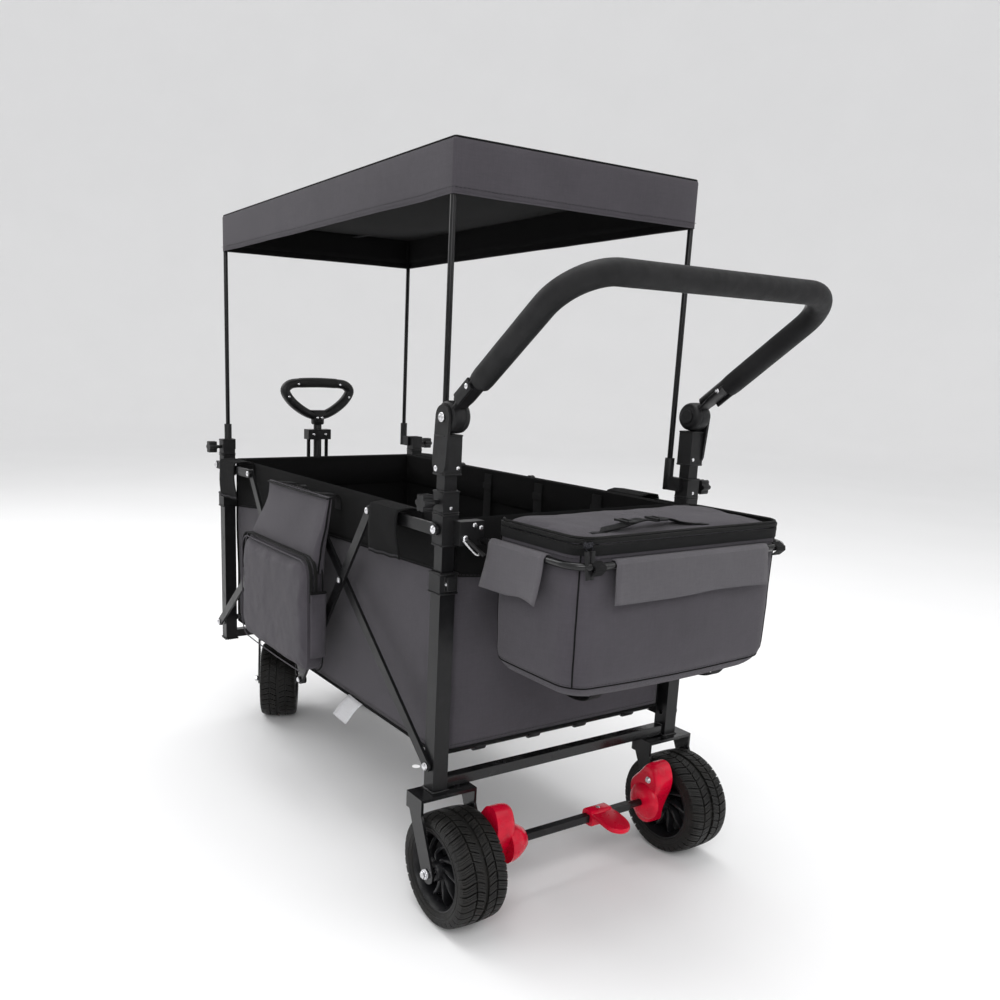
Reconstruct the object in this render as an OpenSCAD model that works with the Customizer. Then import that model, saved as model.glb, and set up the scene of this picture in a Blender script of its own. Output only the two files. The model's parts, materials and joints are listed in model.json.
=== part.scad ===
// Folding wagon with a pull handle, a push handle, a canopy and a rear cooler basket.
// Millimetres. +X points forward (towards the pull handle), +Y left, +Z up.
// The origin lies on the floor, midway between the four posts.

/* [Frame] */
// Distance between the front and rear posts, centre to centre
post_length = 1032; // [940:1:1240]
// Distance between the left and right posts, centre to centre
post_width = 564; // [470:1:680]
// Height of the post feet above the floor
foot_z = 225; // [222:1:240]
// Width of the square lower post tubes
post_outer = 30; // [28:1:34]
// Width of the square upper post tubes that stand in the lower ones
post_inner = 24; // [20:1:24]
// Wall of both post tubes
tube_wall = 2; // [1.5:0.5:2.5]
// Height of the pivot that carries the rail arms
rail_z = 691; // [660:1:740]
// Height of the pivot at the bottom of the side links
link_z = 272; // [268:1:290]
// Length of a rail arm, pivot to end
arm_length = 215; // [190:1:240]
// Width of the flat side links and rail arms
link_w = 20; // [16:1:24]
// Thickness of the flat side links and rail arms
link_t = 6; // [4:0.5:6]

/* [Wheels] */
// Radius of all four tyres
wheel_r = 100; // [90:1:104]
// Width of all four tyres
wheel_w = 95; // [80:1:97]
// Radius of the rims where the tyres seat
rim_r = 66; // [56:1:72]
// Radius of the axles
axle_r = 6; // [5:0.5:7]
// Distance of the rear axle behind the rear posts
axle_back = 54; // [40:1:70]
// Distance of the caster pivots from the middle of the wagon
caster_y = 135; // [120:1:160]
// Distance that a caster wheel trails behind its pivot
caster_trail = 40; // [30:1:50]
// Angle at which the casters stand
caster_yaw = -27; // [-60:1:60]

/* [Handles] */
// Height of the push handle's hinge
hinge_z = 874; // [860:1:900]
// Length of the push handle from its hinge to its crossbar
push_length = 338; // [290:1:360]
// Angle of the push handle above the horizontal
push_tilt = 36.6; // [30:0.1:45]
// Radius of the foam grip
foam_r = 19; // [16:1:20]
// Radius of the steel tube inside the foam grip
push_tube_r = 11; // [9:1:12]
// Bend radius of the push handle's two corners
push_bend = 78; // [60:1:90]
// Height of the pull handle's clamp block
pull_block_z = 747; // [720:1:780]
// Radius of the pull handle's telescopic tube
pull_tube_r = 11; // [9:1:12]
// Width of the pull handle's loop grip
grip_w = 220; // [180:1:240]
// Height of the pull handle's loop grip
grip_h = 112; // [100:1:130]

/* [Canopy] */
// Height of the lower edge of the canopy's valance
valance_z = 1218; // [1180:1:1300]
// Depth of the valance
valance_h = 86; // [70:1:110]
// Radius of the canopy poles
pole_r = 5.25; // [4.5:0.25:6]
// Distance of the poles ahead of their posts
pole_ahead = 36; // [34:1:44]

/* [Fabric] */
// Thickness of the tub's walls
fabric_t = 4; // [2:0.5:4]
// Length of the rear basket along the wagon
basket_l = 214; // [180:1:230]
// Width of the rear basket at its rim
basket_w = 452; // [380:1:456]
// Height of the rear basket below its rim
basket_h = 240; // [200:1:260]
// Length of the side bag
bag_l = 378; // [300:1:400]
// Height of the side bag's lower pocket
bag_h = 245; // [200:1:260]
// Depth of the side bag's lower pocket
bag_t = 49; // [35:1:60]

/* [Hidden] */
$fn = 48;

// Clearances
run_gap = 0.06;         // radial, between a pin and what turns on it
side_gap = 0.5;         // between flat parts that turn past each other
fit_gap = 0.1;          // between fixed parts that slip together

// Posts
half_l = post_length / 2;
half_w = post_width / 2;
post_face = half_w + post_outer / 2;      // outboard face of the lower posts
collar_z = 583;
collar_h = 36;
sleeve_out = post_outer + 1.2;            // outside width of the brackets on the upper posts
bracket_z = rail_z - 28;
bracket_h = 54;
clamp_z = bracket_z + bracket_h + 0.2;
clamp_h = 38;
hinge_x = -half_l - 6;
hub_r = 26;

// Side links, in two layers outboard of the posts
layer_1 = post_face + 1;
layer_2 = layer_1 + link_t + side_gap;
layer_end = layer_2 + link_t;
bolt_r = 4;
head_r = 7;
head_t = 3;
low_pin = [half_l, link_z];
top_mid = [0, rail_z];
low_mid = [0, link_z - 1];
arm_end = [half_l - arm_length, rail_z];
// Crossing point of two lines, each given by two points
function cross_at(a, b, c, d) =
    let (r = b - a, s = d - c, q = c - a, t = (q[0] * s[1] - q[1] * s[0]) / (r[0] * s[1] - r[1] * s[0]))
    a + t * r;
cross_pin = cross_at(low_pin, top_mid, arm_end, low_mid);

// Wheels
fork_clear = 5.5;
fork_t = 5;
wheel_y = half_w - 11;
fork_in = wheel_w / 2 + fork_clear;
axle_x = -half_l - axle_back;
tread_flat = wheel_w * 0.36;
hub_len = wheel_w / 2 - 3;
caster_plate_z = wheel_r * 2 + 6;
crossbar_z = foot_z + 12;
crossbar_t = 20;
socket_z = crossbar_z - crossbar_t / 2 - 3;
stem_r = 7;

// Floor
hinge_rod_r = 7;
floor_x = half_l - 16;
floor_z = 285;
floor_bar = 16;
floor_rows = [-183, -57, 57, 183];
floor_row_shift = 20;
floor_open = 135;
board_t = 10;

// Brake
brake_x = axle_x - 10;
brake_z = 124;
brake_sq = 14;
brake_lug_y = 130;
brake_cover_y = 172;
pedal_y = -50;           // middle of the pedal along the bar

// Tub, canopy and basket
tub_y = half_w - 22;
tub_x = half_l - 4;
tub_top = rail_z + 9;
wall_z = 312;
side_z = 272;
pole_y = half_w - 16;
pole_low = clamp_z + 16;
sleeve_h = 62;
roof_y = pole_y + 5.5;
roof_over = 7;
roof_x0 = -half_l + pole_ahead - roof_over;
roof_x1 = half_l + pole_ahead + roof_over;
spigot_r = 3;
spigot_h = 20;
rim_z = rail_z + 9;
basket_x = -half_l - 58;
basket_tube_r = 6;
basket_tube_y = basket_w / 2 + 9;
basket_tube_x = basket_x - basket_l - 9;
basket_tube_z = rim_z - 25;
lid_t = 20;
bag_y = layer_end + head_t + 2.5;
bag_x = -155;
bag_z = 325;

// Pull handle
pull_x = half_l + 56;
pull_pin_z = 250;
pull_rod_r = 5;
pull_rod_y = 27;
grip_z = pull_block_z + 53;

// A box between two corners
module box(a, b) {
    low = [for (i = [0:2]) min(a[i], b[i])];
    high = [for (i = [0:2]) max(a[i], b[i])];
    translate(low) cube(high - low);
}
// Its children, and the same on the other side of the wagon
module both_sides() { children(); mirror([0, 1, 0]) children(); }
// Its children, and the same at the other end of the wagon
module other_end() { mirror([1, 0, 0]) children(); }
// A round bar along Y, centred on x and z
module rod_y(x, z, y0, y1, r) { translate([x, y1, z]) rotate([90, 0, 0]) cylinder(h = y1 - y0, r = r); }
// A flat outline in X and Z, given thickness from y0 to y1
module plate(y0, y1) { translate([0, y1, 0]) rotate([90, 0, 0]) linear_extrude(y1 - y0) children(); }
// A straight strip with round ends between two points
module strip(p, q, w) {
    translate(p) circle(w / 2);
    translate(q) circle(w / 2);
    inset = 0.05;
    translate(p) rotate(atan2(q[1] - p[1], q[0] - p[0]))
        translate([0, inset - w / 2]) square([norm(q - p), w - 2 * inset]);
}
// A square tube standing on z0
module square_tube(x, y, z0, z1, w) {
    difference() {
        box([x - w / 2, y - w / 2, z0], [x + w / 2, y + w / 2, z1]);
        box([x - w / 2 + tube_wall, y - w / 2 + tube_wall, z0 - 1],
            [x + w / 2 - tube_wall, y + w / 2 - tube_wall, z1 + 1]);
    }
}
// A block around the upper post, open for the tube
module post_sleeve(x, z0, h, w) {
    difference() {
        box([x - w / 2, half_w - w / 2, z0], [x + w / 2, half_w + w / 2, z0 + h]);
        post_hole(x, z0, h);
    }
}
module post_hole(x, z0, h) {
    hole = post_inner / 2 + fit_gap;
    box([x - hole, half_w - hole, z0 - 1], [x + hole, half_w + hole, z0 + h + 1]);
}

// Posts and what is fixed to them
module lower_post(x) {
    difference() {
        square_tube(x, half_w, foot_z, collar_z, post_outer);
        rod_y(x, link_z, half_w - post_outer, half_w + post_outer, bolt_r + fit_gap);
    }
}
module upper_post(x, top) {
    difference() {
        square_tube(x, half_w, collar_z - 60, top, post_inner);
        rod_y(x, rail_z, half_w, half_w + post_inner, bolt_r + fit_gap);
        rod_y(x, clamp_z + clamp_h / 2, half_w + 4, half_w + post_inner, bolt_r + fit_gap);
    }
}
module collar(x, back) {
    post_sleeve(x, collar_z, collar_h, post_outer + 6);
    side = post_outer / 2 + 3;
    box([x + back * side, half_w - 10, collar_z + 6], [x + back * (side + 8), half_w + 8, collar_z + collar_h - 6]);
}
module rail_bracket(x) {
    difference() {
        post_sleeve(x, bracket_z, bracket_h, sleeve_out);
        rod_y(x, rail_z, half_w, half_w + post_outer, bolt_r + fit_gap);
    }
}
module pole_clamp(x) {
    difference() {
        union() {
            box([x - sleeve_out / 2, half_w - sleeve_out / 2, clamp_z],
                [x + sleeve_out / 2, half_w + sleeve_out / 2, clamp_z + clamp_h]);
            box([x, pole_y - 7, clamp_z + 12], [x + pole_ahead, pole_y + 7, clamp_z + clamp_h]);
            translate([x + pole_ahead, pole_y, clamp_z + 12]) cylinder(h = sleeve_h, r = pole_r + 4);
        }
        post_hole(x, clamp_z, clamp_h);
        translate([x + pole_ahead, pole_y, clamp_z]) cylinder(h = sleeve_h + 20, r = pole_r + run_gap);
        rod_y(x, clamp_z + clamp_h / 2, half_w, half_w + post_outer, bolt_r + run_gap);
    }
}
module knob(x) {
    z = clamp_z + clamp_h / 2;
    y0 = layer_end + 2;
    rod_y(x, z, half_w + post_inner / 2 - 1, y0, bolt_r);
    plate(y0, y0 + 20) {
        translate([x, z]) circle(12);
        for (a = [0:60:300]) translate([x + 11 * cos(a), z + 11 * sin(a)]) circle(4.5);
    }
}
// A bolt along Y with its head outboard
module bolt(p, y0, y1, r = bolt_r) {
    rod_y(p[0], p[1], y0, y1, r);
    rod_y(p[0], p[1], y1, y1 + head_t, r + 3);
}
module spacer(p, y0, y1) {
    difference() {
        rod_y(p[0], p[1], y0, y1, 8);
        rod_y(p[0], p[1], y0 - 1, y1 + 1, bolt_r + fit_gap);
    }
}

module rear_lower_posts() { color("dimgray") both_sides() lower_post(-half_l); }
module rear_upper_posts() { color("gray") both_sides() upper_post(-half_l, hinge_z - hub_r - 4); }
module rear_post_collars() { color("black") both_sides() collar(-half_l, -1); }
module rear_rail_brackets() {
    color("black") both_sides() {
        rail_bracket(-half_l);
        // Catch that holds the basket's frame
        box([-half_l - 36, basket_tube_y - 7, bracket_z + 4], [1 - half_l - sleeve_out / 2, half_w - 6, bracket_z + 44]);
    }
}
module rear_pole_clamps() { color("black") both_sides() pole_clamp(-half_l); }
module push_handle_brackets() {
    color("black") both_sides() difference() {
        union() {
            post_sleeve(-half_l, clamp_z + clamp_h + 25, 66, sleeve_out + 2);
            plate(half_w + post_inner / 2 + 0.4, half_w + post_inner / 2 + 5.4)
                strip([-half_l, clamp_z + clamp_h + 46], [hinge_x, hinge_z], 40);
        }
        post_hole(-half_l, clamp_z + clamp_h + 25, 66);
        rod_y(hinge_x, hinge_z, half_w, half_w + 30, 5 + fit_gap);
    }
}
module rear_frame_bolts() {
    color("silver") both_sides() {
        bolt([-low_pin[0], low_pin[1]], half_w - 10, layer_1 + link_t + 0.3);
        bolt([-half_l, rail_z], half_w + 6, layer_1 + link_t + 0.3);
        bolt([hinge_x, hinge_z], half_w - 14.5, half_w + post_inner / 2 + 5.5, 5);
    }
}
module rear_crossbars() {
    color("dimgray") {
        difference() {
            box([-half_l - crossbar_t / 2, -half_w + post_outer / 2, crossbar_z - crossbar_t / 2],
                [-half_l + crossbar_t / 2, half_w - post_outer / 2, crossbar_z + crossbar_t / 2]);
            box([-half_l - crossbar_t / 2 + tube_wall, -half_w, crossbar_z - crossbar_t / 2 + tube_wall],
                [-half_l + crossbar_t / 2 - tube_wall, half_w, crossbar_z + crossbar_t / 2 - tube_wall]);
        }
        rod_y(-floor_x, floor_z, -half_w + post_outer / 2, half_w - post_outer / 2, hinge_rod_r);
    }
}
module rear_forks() {
    color("black") both_sides() {
        y0 = wheel_y - fork_in - fork_t;
        y1 = wheel_y + fork_in + fork_t;
        top = [-half_l - 6, foot_z - 20];
        box([-half_l - 30, y0, foot_z - 6], [-half_l + 20, y1, foot_z]);
        for (y = [y0, y1 - fork_t]) difference() {
            plate(y, y + fork_t) {
                strip(top, [axle_x, wheel_r], 36);
                translate([-half_l - 30, foot_z - 30]) square([50, 30 - 6]);
            }
            rod_y(axle_x, wheel_r, y - 1, y + fork_t + 1, axle_r + fit_gap);
        }
    }
}
module rear_axles() {
    color("silver") both_sides() {
        y0 = wheel_y - fork_in - fork_t;
        y1 = wheel_y + fork_in + fork_t;
        rod_y(axle_x, wheel_r, y0 - 0.2, y1 + 0.2, axle_r);
        rod_y(axle_x, wheel_r, y1 + 0.2, y1 + 5, axle_r + 3);
    }
}

// Wheels, made about the origin with the axle along Y
module tyre() {
    side = wheel_w / 2;
    difference() {
        rotate([90, 0, 0]) rotate_extrude($fn = 96) polygon([
            [rim_r, -side + 8], [rim_r + 4, -side + 4], [wheel_r - 14, -side], [wheel_r - 6, -side + 3],
            [wheel_r - 1.5, -tread_flat], [wheel_r, -tread_flat + 8], [wheel_r, tread_flat - 8],
            [wheel_r - 1.5, tread_flat], [wheel_r - 6, side - 3], [wheel_r - 14, side],
            [rim_r + 4, side - 4], [rim_r, side - 8]]);
        rotate([90, 0, 0]) translate([0, 0, -3]) difference() {
            cylinder(h = 6, r = wheel_r + 1);
            cylinder(h = 6, r = wheel_r - 4);
        }
    }
}
module rim() {
    spokes = 10;
    difference() {
        rotate([90, 0, 0]) union() {
            rotate_extrude($fn = 96) polygon([
                [rim_r - 5, -wheel_w / 2 + 9], [rim_r, -wheel_w / 2 + 9], [rim_r, wheel_w / 2 - 9],
                [rim_r - 5, wheel_w / 2 - 9]]);
            translate([0, 0, -hub_len]) cylinder(h = 2 * hub_len, r = 17);
            for (a = [0:spokes - 1]) rotate(a * 360 / spokes)
                translate([14, -3, -wheel_w / 2 + 16]) cube([rim_r - 17, 6, wheel_w - 32]);
        }
        rod_y(0, 0, -wheel_w, wheel_w, axle_r + run_gap);
    }
}
module at_rear_wheel() { translate([axle_x, wheel_y, wheel_r]) children(); }
module rear_tyre_left() { color("black") at_rear_wheel() tyre(); }
module rear_rim_left() { color("dimgray") at_rear_wheel() rim(); }
module rear_tyre_right() { color("black") mirror([0, 1, 0]) at_rear_wheel() tyre(); }
module rear_rim_right() { color("dimgray") mirror([0, 1, 0]) at_rear_wheel() rim(); }

// Casters, made about their pivot with the wheel trailing towards -X
module at_caster(side) { translate([half_l, side * caster_y, 0]) rotate(caster_yaw) children(); }
module caster_fork() {
    stem_top = crossbar_z + crossbar_t / 2;
    y1 = fork_in + fork_t;
    translate([0, 0, caster_plate_z]) cylinder(h = stem_top - caster_plate_z, r = stem_r);
    translate([0, 0, caster_plate_z]) cylinder(h = socket_z - side_gap - caster_plate_z, r = 15);
    box([-caster_trail / 2 - 16, -y1, caster_plate_z], [22, y1, caster_plate_z + fork_t]);
    for (y = [-y1, fork_in]) plate(y, y + fork_t) {
        strip([-caster_trail / 2, caster_plate_z - 12], [-caster_trail, wheel_r], 30);
        translate([-caster_trail / 2 - 16, caster_plate_z - 14]) square([34, 14]);
    }
    rod_y(-caster_trail, wheel_r, -y1 - 4, y1 + 4, axle_r);
}
module caster_fork_left() { color("black") at_caster(1) caster_fork(); }
module caster_fork_right() { color("black") at_caster(-1) caster_fork(); }
module at_caster_wheel(side) { at_caster(side) translate([-caster_trail, 0, wheel_r]) children(); }
module front_tyre_left() { color("black") at_caster_wheel(1) tyre(); }
module front_rim_left() { color("dimgray") at_caster_wheel(1) rim(); }
module front_tyre_right() { color("black") at_caster_wheel(-1) tyre(); }
module front_rim_right() { color("dimgray") at_caster_wheel(-1) rim(); }

// Brake
module brake_covers() {
    color("red") both_sides() difference() {
        union() {
            plate(brake_cover_y, wheel_y - fork_in - fork_t - 0.1) {
                strip([brake_x - 8, 184], [brake_x + 6, 96], 42);
                strip([brake_x, brake_z], [brake_x + 20, 150], 40);
            }
            rod_y(brake_x, brake_z, brake_lug_y, brake_cover_y, brake_sq);
        }
        rod_y(brake_x, brake_z, brake_lug_y - 1, brake_cover_y + 20, brake_sq / 2 + run_gap);
        rod_y(axle_x, wheel_r, brake_cover_y - 1, wheel_y, axle_r + 4);
    }
}
module brake_bar() {
    color("black") {
        half = brake_lug_y - 0.4;
        box([brake_x - brake_sq / 2, -half, brake_z - brake_sq / 2], [brake_x + brake_sq / 2, half, brake_z + brake_sq / 2]);
        rod_y(brake_x, brake_z, -half - 50, half + 50, brake_sq / 2);
    }
}
module brake_pedal() {
    color("red") translate([0, pedal_y, 0]) difference() {
        union() {
            plate(-26, 26) {
                strip([brake_x, brake_z], [brake_x - 4, brake_z], 30);
                translate([brake_x - 52, brake_z + 3]) square([52, 9]);
            }
            translate([brake_x - 52, 0, brake_z + 3]) cylinder(h = 9, r = 26);
        }
        gap = brake_sq / 2 + fit_gap;
        box([brake_x - gap, -30, brake_z - gap], [brake_x + gap, 30, brake_z + gap]);
    }
}

// Push handle, made with its hinge at the origin and its arms towards +X, then turned to point back and up
module at_push() { translate([hinge_x, 0, hinge_z]) rotate([0, push_tilt, 0]) mirror([1, 0, 0]) children(); }
push_y = half_w + post_inner / 2 - 15;
push_lift = 11;
module push_loop(start, r) {
    translate([0, 0, push_lift]) {
        for (s = [-1, 1]) {
            translate([start, s * push_y, 0]) rotate([0, 90, 0]) cylinder(h = push_length - push_bend - start, r = r);
            translate([push_length - push_bend, s * (push_y - push_bend), 0]) rotate(s > 0 ? 0 : -90)
                rotate_extrude(angle = 90) translate([push_bend, 0]) circle(r);
        }
        translate([push_length, push_y - push_bend, 0]) rotate([90, 0, 0]) cylinder(h = 2 * (push_y - push_bend), r = r);
    }
}
module push_tube() {
    color("gray") at_push() difference() {
        push_loop(30, push_tube_r);
        push_loop(29, push_tube_r - tube_wall);
    }
}
module foam_grip() {
    color("black") at_push() difference() {
        push_loop(62, foam_r);
        push_loop(30, push_tube_r + 0.02);
    }
}
module push_handle_hubs() {
    inner = half_w - 24;
    outer = half_w + post_inner / 2 - 0.1;
    color("black") at_push() both_sides() difference() {
        union() {
            rod_y(0, 0, inner, outer, hub_r);
            translate([0, push_y, push_lift]) rotate([0, 90, 0]) cylinder(h = 61, r = 14.5);
        }
        rod_y(0, 0, inner - 1, outer + 1, 5 + run_gap);
        rod_y(0, 0, inner - 1, inner + 8, 13.4);
        translate([30, push_y, push_lift]) rotate([0, 90, 0]) cylinder(h = 40, r = push_tube_r + 0.02);
    }
}
module hinge_button() { color("dimgray") rod_y(hinge_x, hinge_z, half_w - 27, half_w - 20.5, 13); }
module hinge_button_left() { hinge_button(); }
module hinge_button_right() { mirror([0, 1, 0]) hinge_button(); }

// Side links and rail arms. The rear ones are drawn at -X; the front ones mirror them
function back(p) = [-p[0], p[1]];
module link(p, q, y0, bores) {
    difference() {
        plate(y0, y0 + link_t) strip(p, q, link_w);
        for (b = bores) rod_y(b[0], b[1], y0 - 1, y0 + link_t + 1, bolt_r + run_gap);
    }
}
module rear_lower_links() {
    color("dimgray") both_sides() {
        link(back(low_pin), top_mid, layer_1, [back(low_pin)]);
        // Pins that carry the crossing link and the front link
        for (p = [back(cross_pin), top_mid]) {
            rod_y(p[0], p[1], layer_1 + 1, layer_end + 0.3, bolt_r);
            rod_y(p[0], p[1], layer_end + 0.3, layer_end + head_t, head_r);
        }
    }
}
module front_lower_links() {
    color("dimgray") both_sides() {
        link(low_pin, top_mid, layer_2, [low_pin, top_mid]);
        rod_y(cross_pin[0], cross_pin[1], layer_1, layer_end, bolt_r);
        rod_y(cross_pin[0], cross_pin[1], layer_end, layer_end + head_t, head_r);
    }
}
module rear_upper_links() {
    color("dimgray") both_sides() {
        link(back(arm_end), low_mid, layer_2, [back(cross_pin)]);
        for (p = [back(arm_end), low_mid]) rod_y(p[0], p[1], layer_end, layer_end + head_t, head_r);
    }
}
module front_upper_links() {
    color("dimgray") both_sides() {
        link(arm_end, low_mid, layer_1, [cross_pin]);
    }
}
module rear_rail_arms() {
    color("dimgray") both_sides() link(back([half_l, rail_z]), back(arm_end), layer_1, [[-half_l, rail_z]]);
}
module front_rail_arms() {
    color("dimgray") both_sides() link([half_l, rail_z], arm_end, layer_2, [[half_l, rail_z]]);
}

// Floor frames: a row of bars on sleeves that turn on the hinge rod, joined by one cross strap
module floor_frame(shift) {
    difference() {
        union() {
            for (y = floor_rows) {
                rod_y(-floor_x, floor_z, y + shift - 12, y + shift + 12, hinge_rod_r + 4);
                box([-floor_x, y + shift - floor_bar / 2, floor_z - floor_bar / 2],
                    [-1, y + shift + floor_bar / 2, floor_z + floor_bar / 2]);
            }
            box([-floor_x / 2 - 12, floor_rows[0] + shift, floor_z - floor_bar / 2 - 3],
                [-floor_x / 2 + 12, floor_rows[3] + shift, floor_z - floor_bar / 2]);
        }
        rod_y(-floor_x, floor_z, -half_w, half_w, hinge_rod_r + run_gap);
    }
}
module floor_board() {
    box([-floor_x + 40, -tub_y + fabric_t + 4, floor_z + floor_bar / 2],
        [-floor_open, tub_y - fabric_t - 4, floor_z + floor_bar / 2 + board_t]);
}
module rear_floor_frame() { color("gray") floor_frame(0); }
module rear_floor_board() { color("black") floor_board(); }
module front_floor_frame() { color("gray") other_end() floor_frame(floor_row_shift); }
module front_floor_board() { color("black") other_end() floor_board(); }

// Front frame
module front_posts() {
    color("gray") both_sides() {
        lower_post(half_l);
        upper_post(half_l, clamp_z + clamp_h - 2);
    }
}
module front_brackets() {
    color("black") both_sides() {
        collar(half_l, 1);
        rail_bracket(half_l);
        pole_clamp(half_l);
    }
}
module front_crossbars() {
    color("dimgray") difference() {
        union() {
            box([half_l - crossbar_t / 2, -half_w + post_outer / 2, crossbar_z - crossbar_t / 2],
                [half_l + crossbar_t / 2, half_w - post_outer / 2, crossbar_z + crossbar_t / 2]);
            rod_y(floor_x, floor_z, -half_w + post_outer / 2, half_w - post_outer / 2, hinge_rod_r);
            both_sides() {
                translate([half_l, caster_y, socket_z]) cylinder(h = crossbar_t + 6, r = 16);
                // Ears that hold the pull handle's pivot
                plate(pull_rod_y + 7, pull_rod_y + 11)
                    strip([half_l + 6, crossbar_z], [pull_x, pull_pin_z], 18);
            }
            rod_y(pull_x, pull_pin_z, -pull_rod_y - 13, pull_rod_y + 13, bolt_r);
        }
        both_sides() translate([half_l, caster_y, socket_z - 1]) cylinder(h = crossbar_t + 8, r = stem_r + run_gap);
    }
}
module front_frame_bolts() {
    color("silver") both_sides() {
        bolt(low_pin, half_w - 10, layer_end + 0.3);
        spacer(low_pin, post_face, layer_2 - 0.3);
        bolt([half_l, rail_z], half_w + 6, layer_end + 0.3);
        spacer([half_l, rail_z], half_w + sleeve_out / 2, layer_2 - 0.3);
    }
}
module front_knob_left() { color("black") knob(half_l); }
module front_knob_right() { color("black") mirror([0, 1, 0]) knob(half_l); }
module rear_knob_left() { color("black") knob(-half_l); }
module rear_knob_right() { color("black") mirror([0, 1, 0]) knob(-half_l); }

// Pull handle
module pull_rods() {
    color("dimgray") difference() {
        union() {
            box([pull_x - 9, -pull_rod_y - 6, pull_pin_z - 9], [pull_x + 9, pull_rod_y + 6, pull_pin_z + 15]);
            for (s = [-1, 1]) translate([pull_x, s * pull_rod_y, pull_pin_z + 15])
                cylinder(h = pull_block_z - pull_pin_z - 15, r = pull_rod_r);
            box([pull_x - 15, -pull_rod_y - 7, pull_block_z], [pull_x + 15, pull_rod_y + 7, pull_block_z + 27]);
        }
        rod_y(pull_x, pull_pin_z, -60, 60, bolt_r + run_gap);
        translate([pull_x, 0, pull_block_z - 1]) cylinder(h = 40, r = pull_tube_r + run_gap);
    }
}
module pull_tube() {
    color("gray") translate([pull_x, 0, pull_pin_z + 50]) difference() {
        cylinder(h = grip_z + 8 - pull_pin_z - 50, r = pull_tube_r);
        translate([0, 0, -1]) cylinder(h = grip_z + 10 - pull_pin_z - 50, r = pull_tube_r - 2);
    }
}
module pull_grip() {
    bar = 28;
    half = grip_w / 2 - bar / 2;
    top = grip_z + grip_h - bar / 2;
    color("black") translate([pull_x, 0, 0]) rotate(-90) difference() {
        plate(-13, 13) {
            strip([-half + 14, top + 1], [half - 14, top + 1], bar);
            for (s = [-1, 1]) {
                strip([s * half, top - 16], [s * (half - 20), top], bar - 4);
                strip([s * half, top - 16], [s * 22, grip_z + 14], bar - 5);
            }
            translate([-18, grip_z - 13]) square([36, 40]);
        }
        translate([0, 0, grip_z - 14]) cylinder(h = 22, r = pull_tube_r + fit_gap);
    }
}

// Canopy
module canopy_roof() {
    wall = 4;
    z1 = valance_z + valance_h;
    color("dimgray") difference() {
        union() {
            difference() {
                box([roof_x0, -roof_y, valance_z], [roof_x1, roof_y, z1]);
                box([roof_x0 + wall, -roof_y + wall, valance_z - 1], [roof_x1 - wall, roof_y - wall, z1 - wall]);
            }
            for (x = [roof_x0, roof_x1 - 2 * roof_over], y = [-roof_y, roof_y - 11])
                box([x, y, valance_z + 10], [x + 2 * roof_over, y + 11, z1 - 1]);
        }
        for (x = [-half_l, half_l], s = [-1, 1])
            translate([x + pole_ahead, s * pole_y, valance_z]) cylinder(h = spigot_h + 12, r = spigot_r + run_gap);
    }
}
module pole(x) {
    height = valance_z - 0.5 - pole_low;
    translate([x + pole_ahead, pole_y, pole_low]) difference() {
        cylinder(h = height, r = pole_r);
        translate([0, 0, -1]) cylinder(h = height - 4, r = pole_r - 1.2);
    }
    translate([x + pole_ahead, pole_y, valance_z - 0.5]) cylinder(h = spigot_h + 10, r = spigot_r);
}
module rear_poles() { color("black") both_sides() pole(-half_l); }
module front_poles() { color("black") both_sides() pole(half_l); }

// Tub
module tub_rear_wall() {
    color("dimgray") box([-tub_x, -tub_y + fabric_t + 0.5, wall_z], [-tub_x + fabric_t, tub_y - fabric_t - 0.5, tub_top]);
}
module tub_front_wall() { color("dimgray") other_end()
    box([-tub_x, -tub_y + fabric_t + 0.5, wall_z], [-tub_x + fabric_t, tub_y - fabric_t - 0.5, tub_top]);
}
module tub_side_walls() {
    color("dimgray") both_sides() difference() {
        box([-tub_x, tub_y - fabric_t, side_z], [tub_x, tub_y, tub_top]);
        for (x = [-floor_x, floor_x]) rod_y(x, floor_z, tub_y - 20, tub_y + 20, hinge_rod_r + 1);
    }
}

// Rear basket
module basket_frame() {
    bend = 40;
    y1 = basket_tube_y - bend;
    start = -half_l - 36.2;
    color("black") translate([0, 0, basket_tube_z]) {
        for (s = [-1, 1]) {
            translate([start, s * basket_tube_y, 0]) rotate([0, -90, 0])
                cylinder(h = start - basket_tube_x - bend, r = basket_tube_r);
            translate([basket_tube_x + bend, s * y1, 0]) rotate(s > 0 ? 90 : 180)
                rotate_extrude(angle = 90) translate([bend, 0]) circle(basket_tube_r);
        }
        translate([basket_tube_x, y1, 0]) rotate([90, 0, 0]) cylinder(h = 2 * y1, r = basket_tube_r);
    }
}
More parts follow.
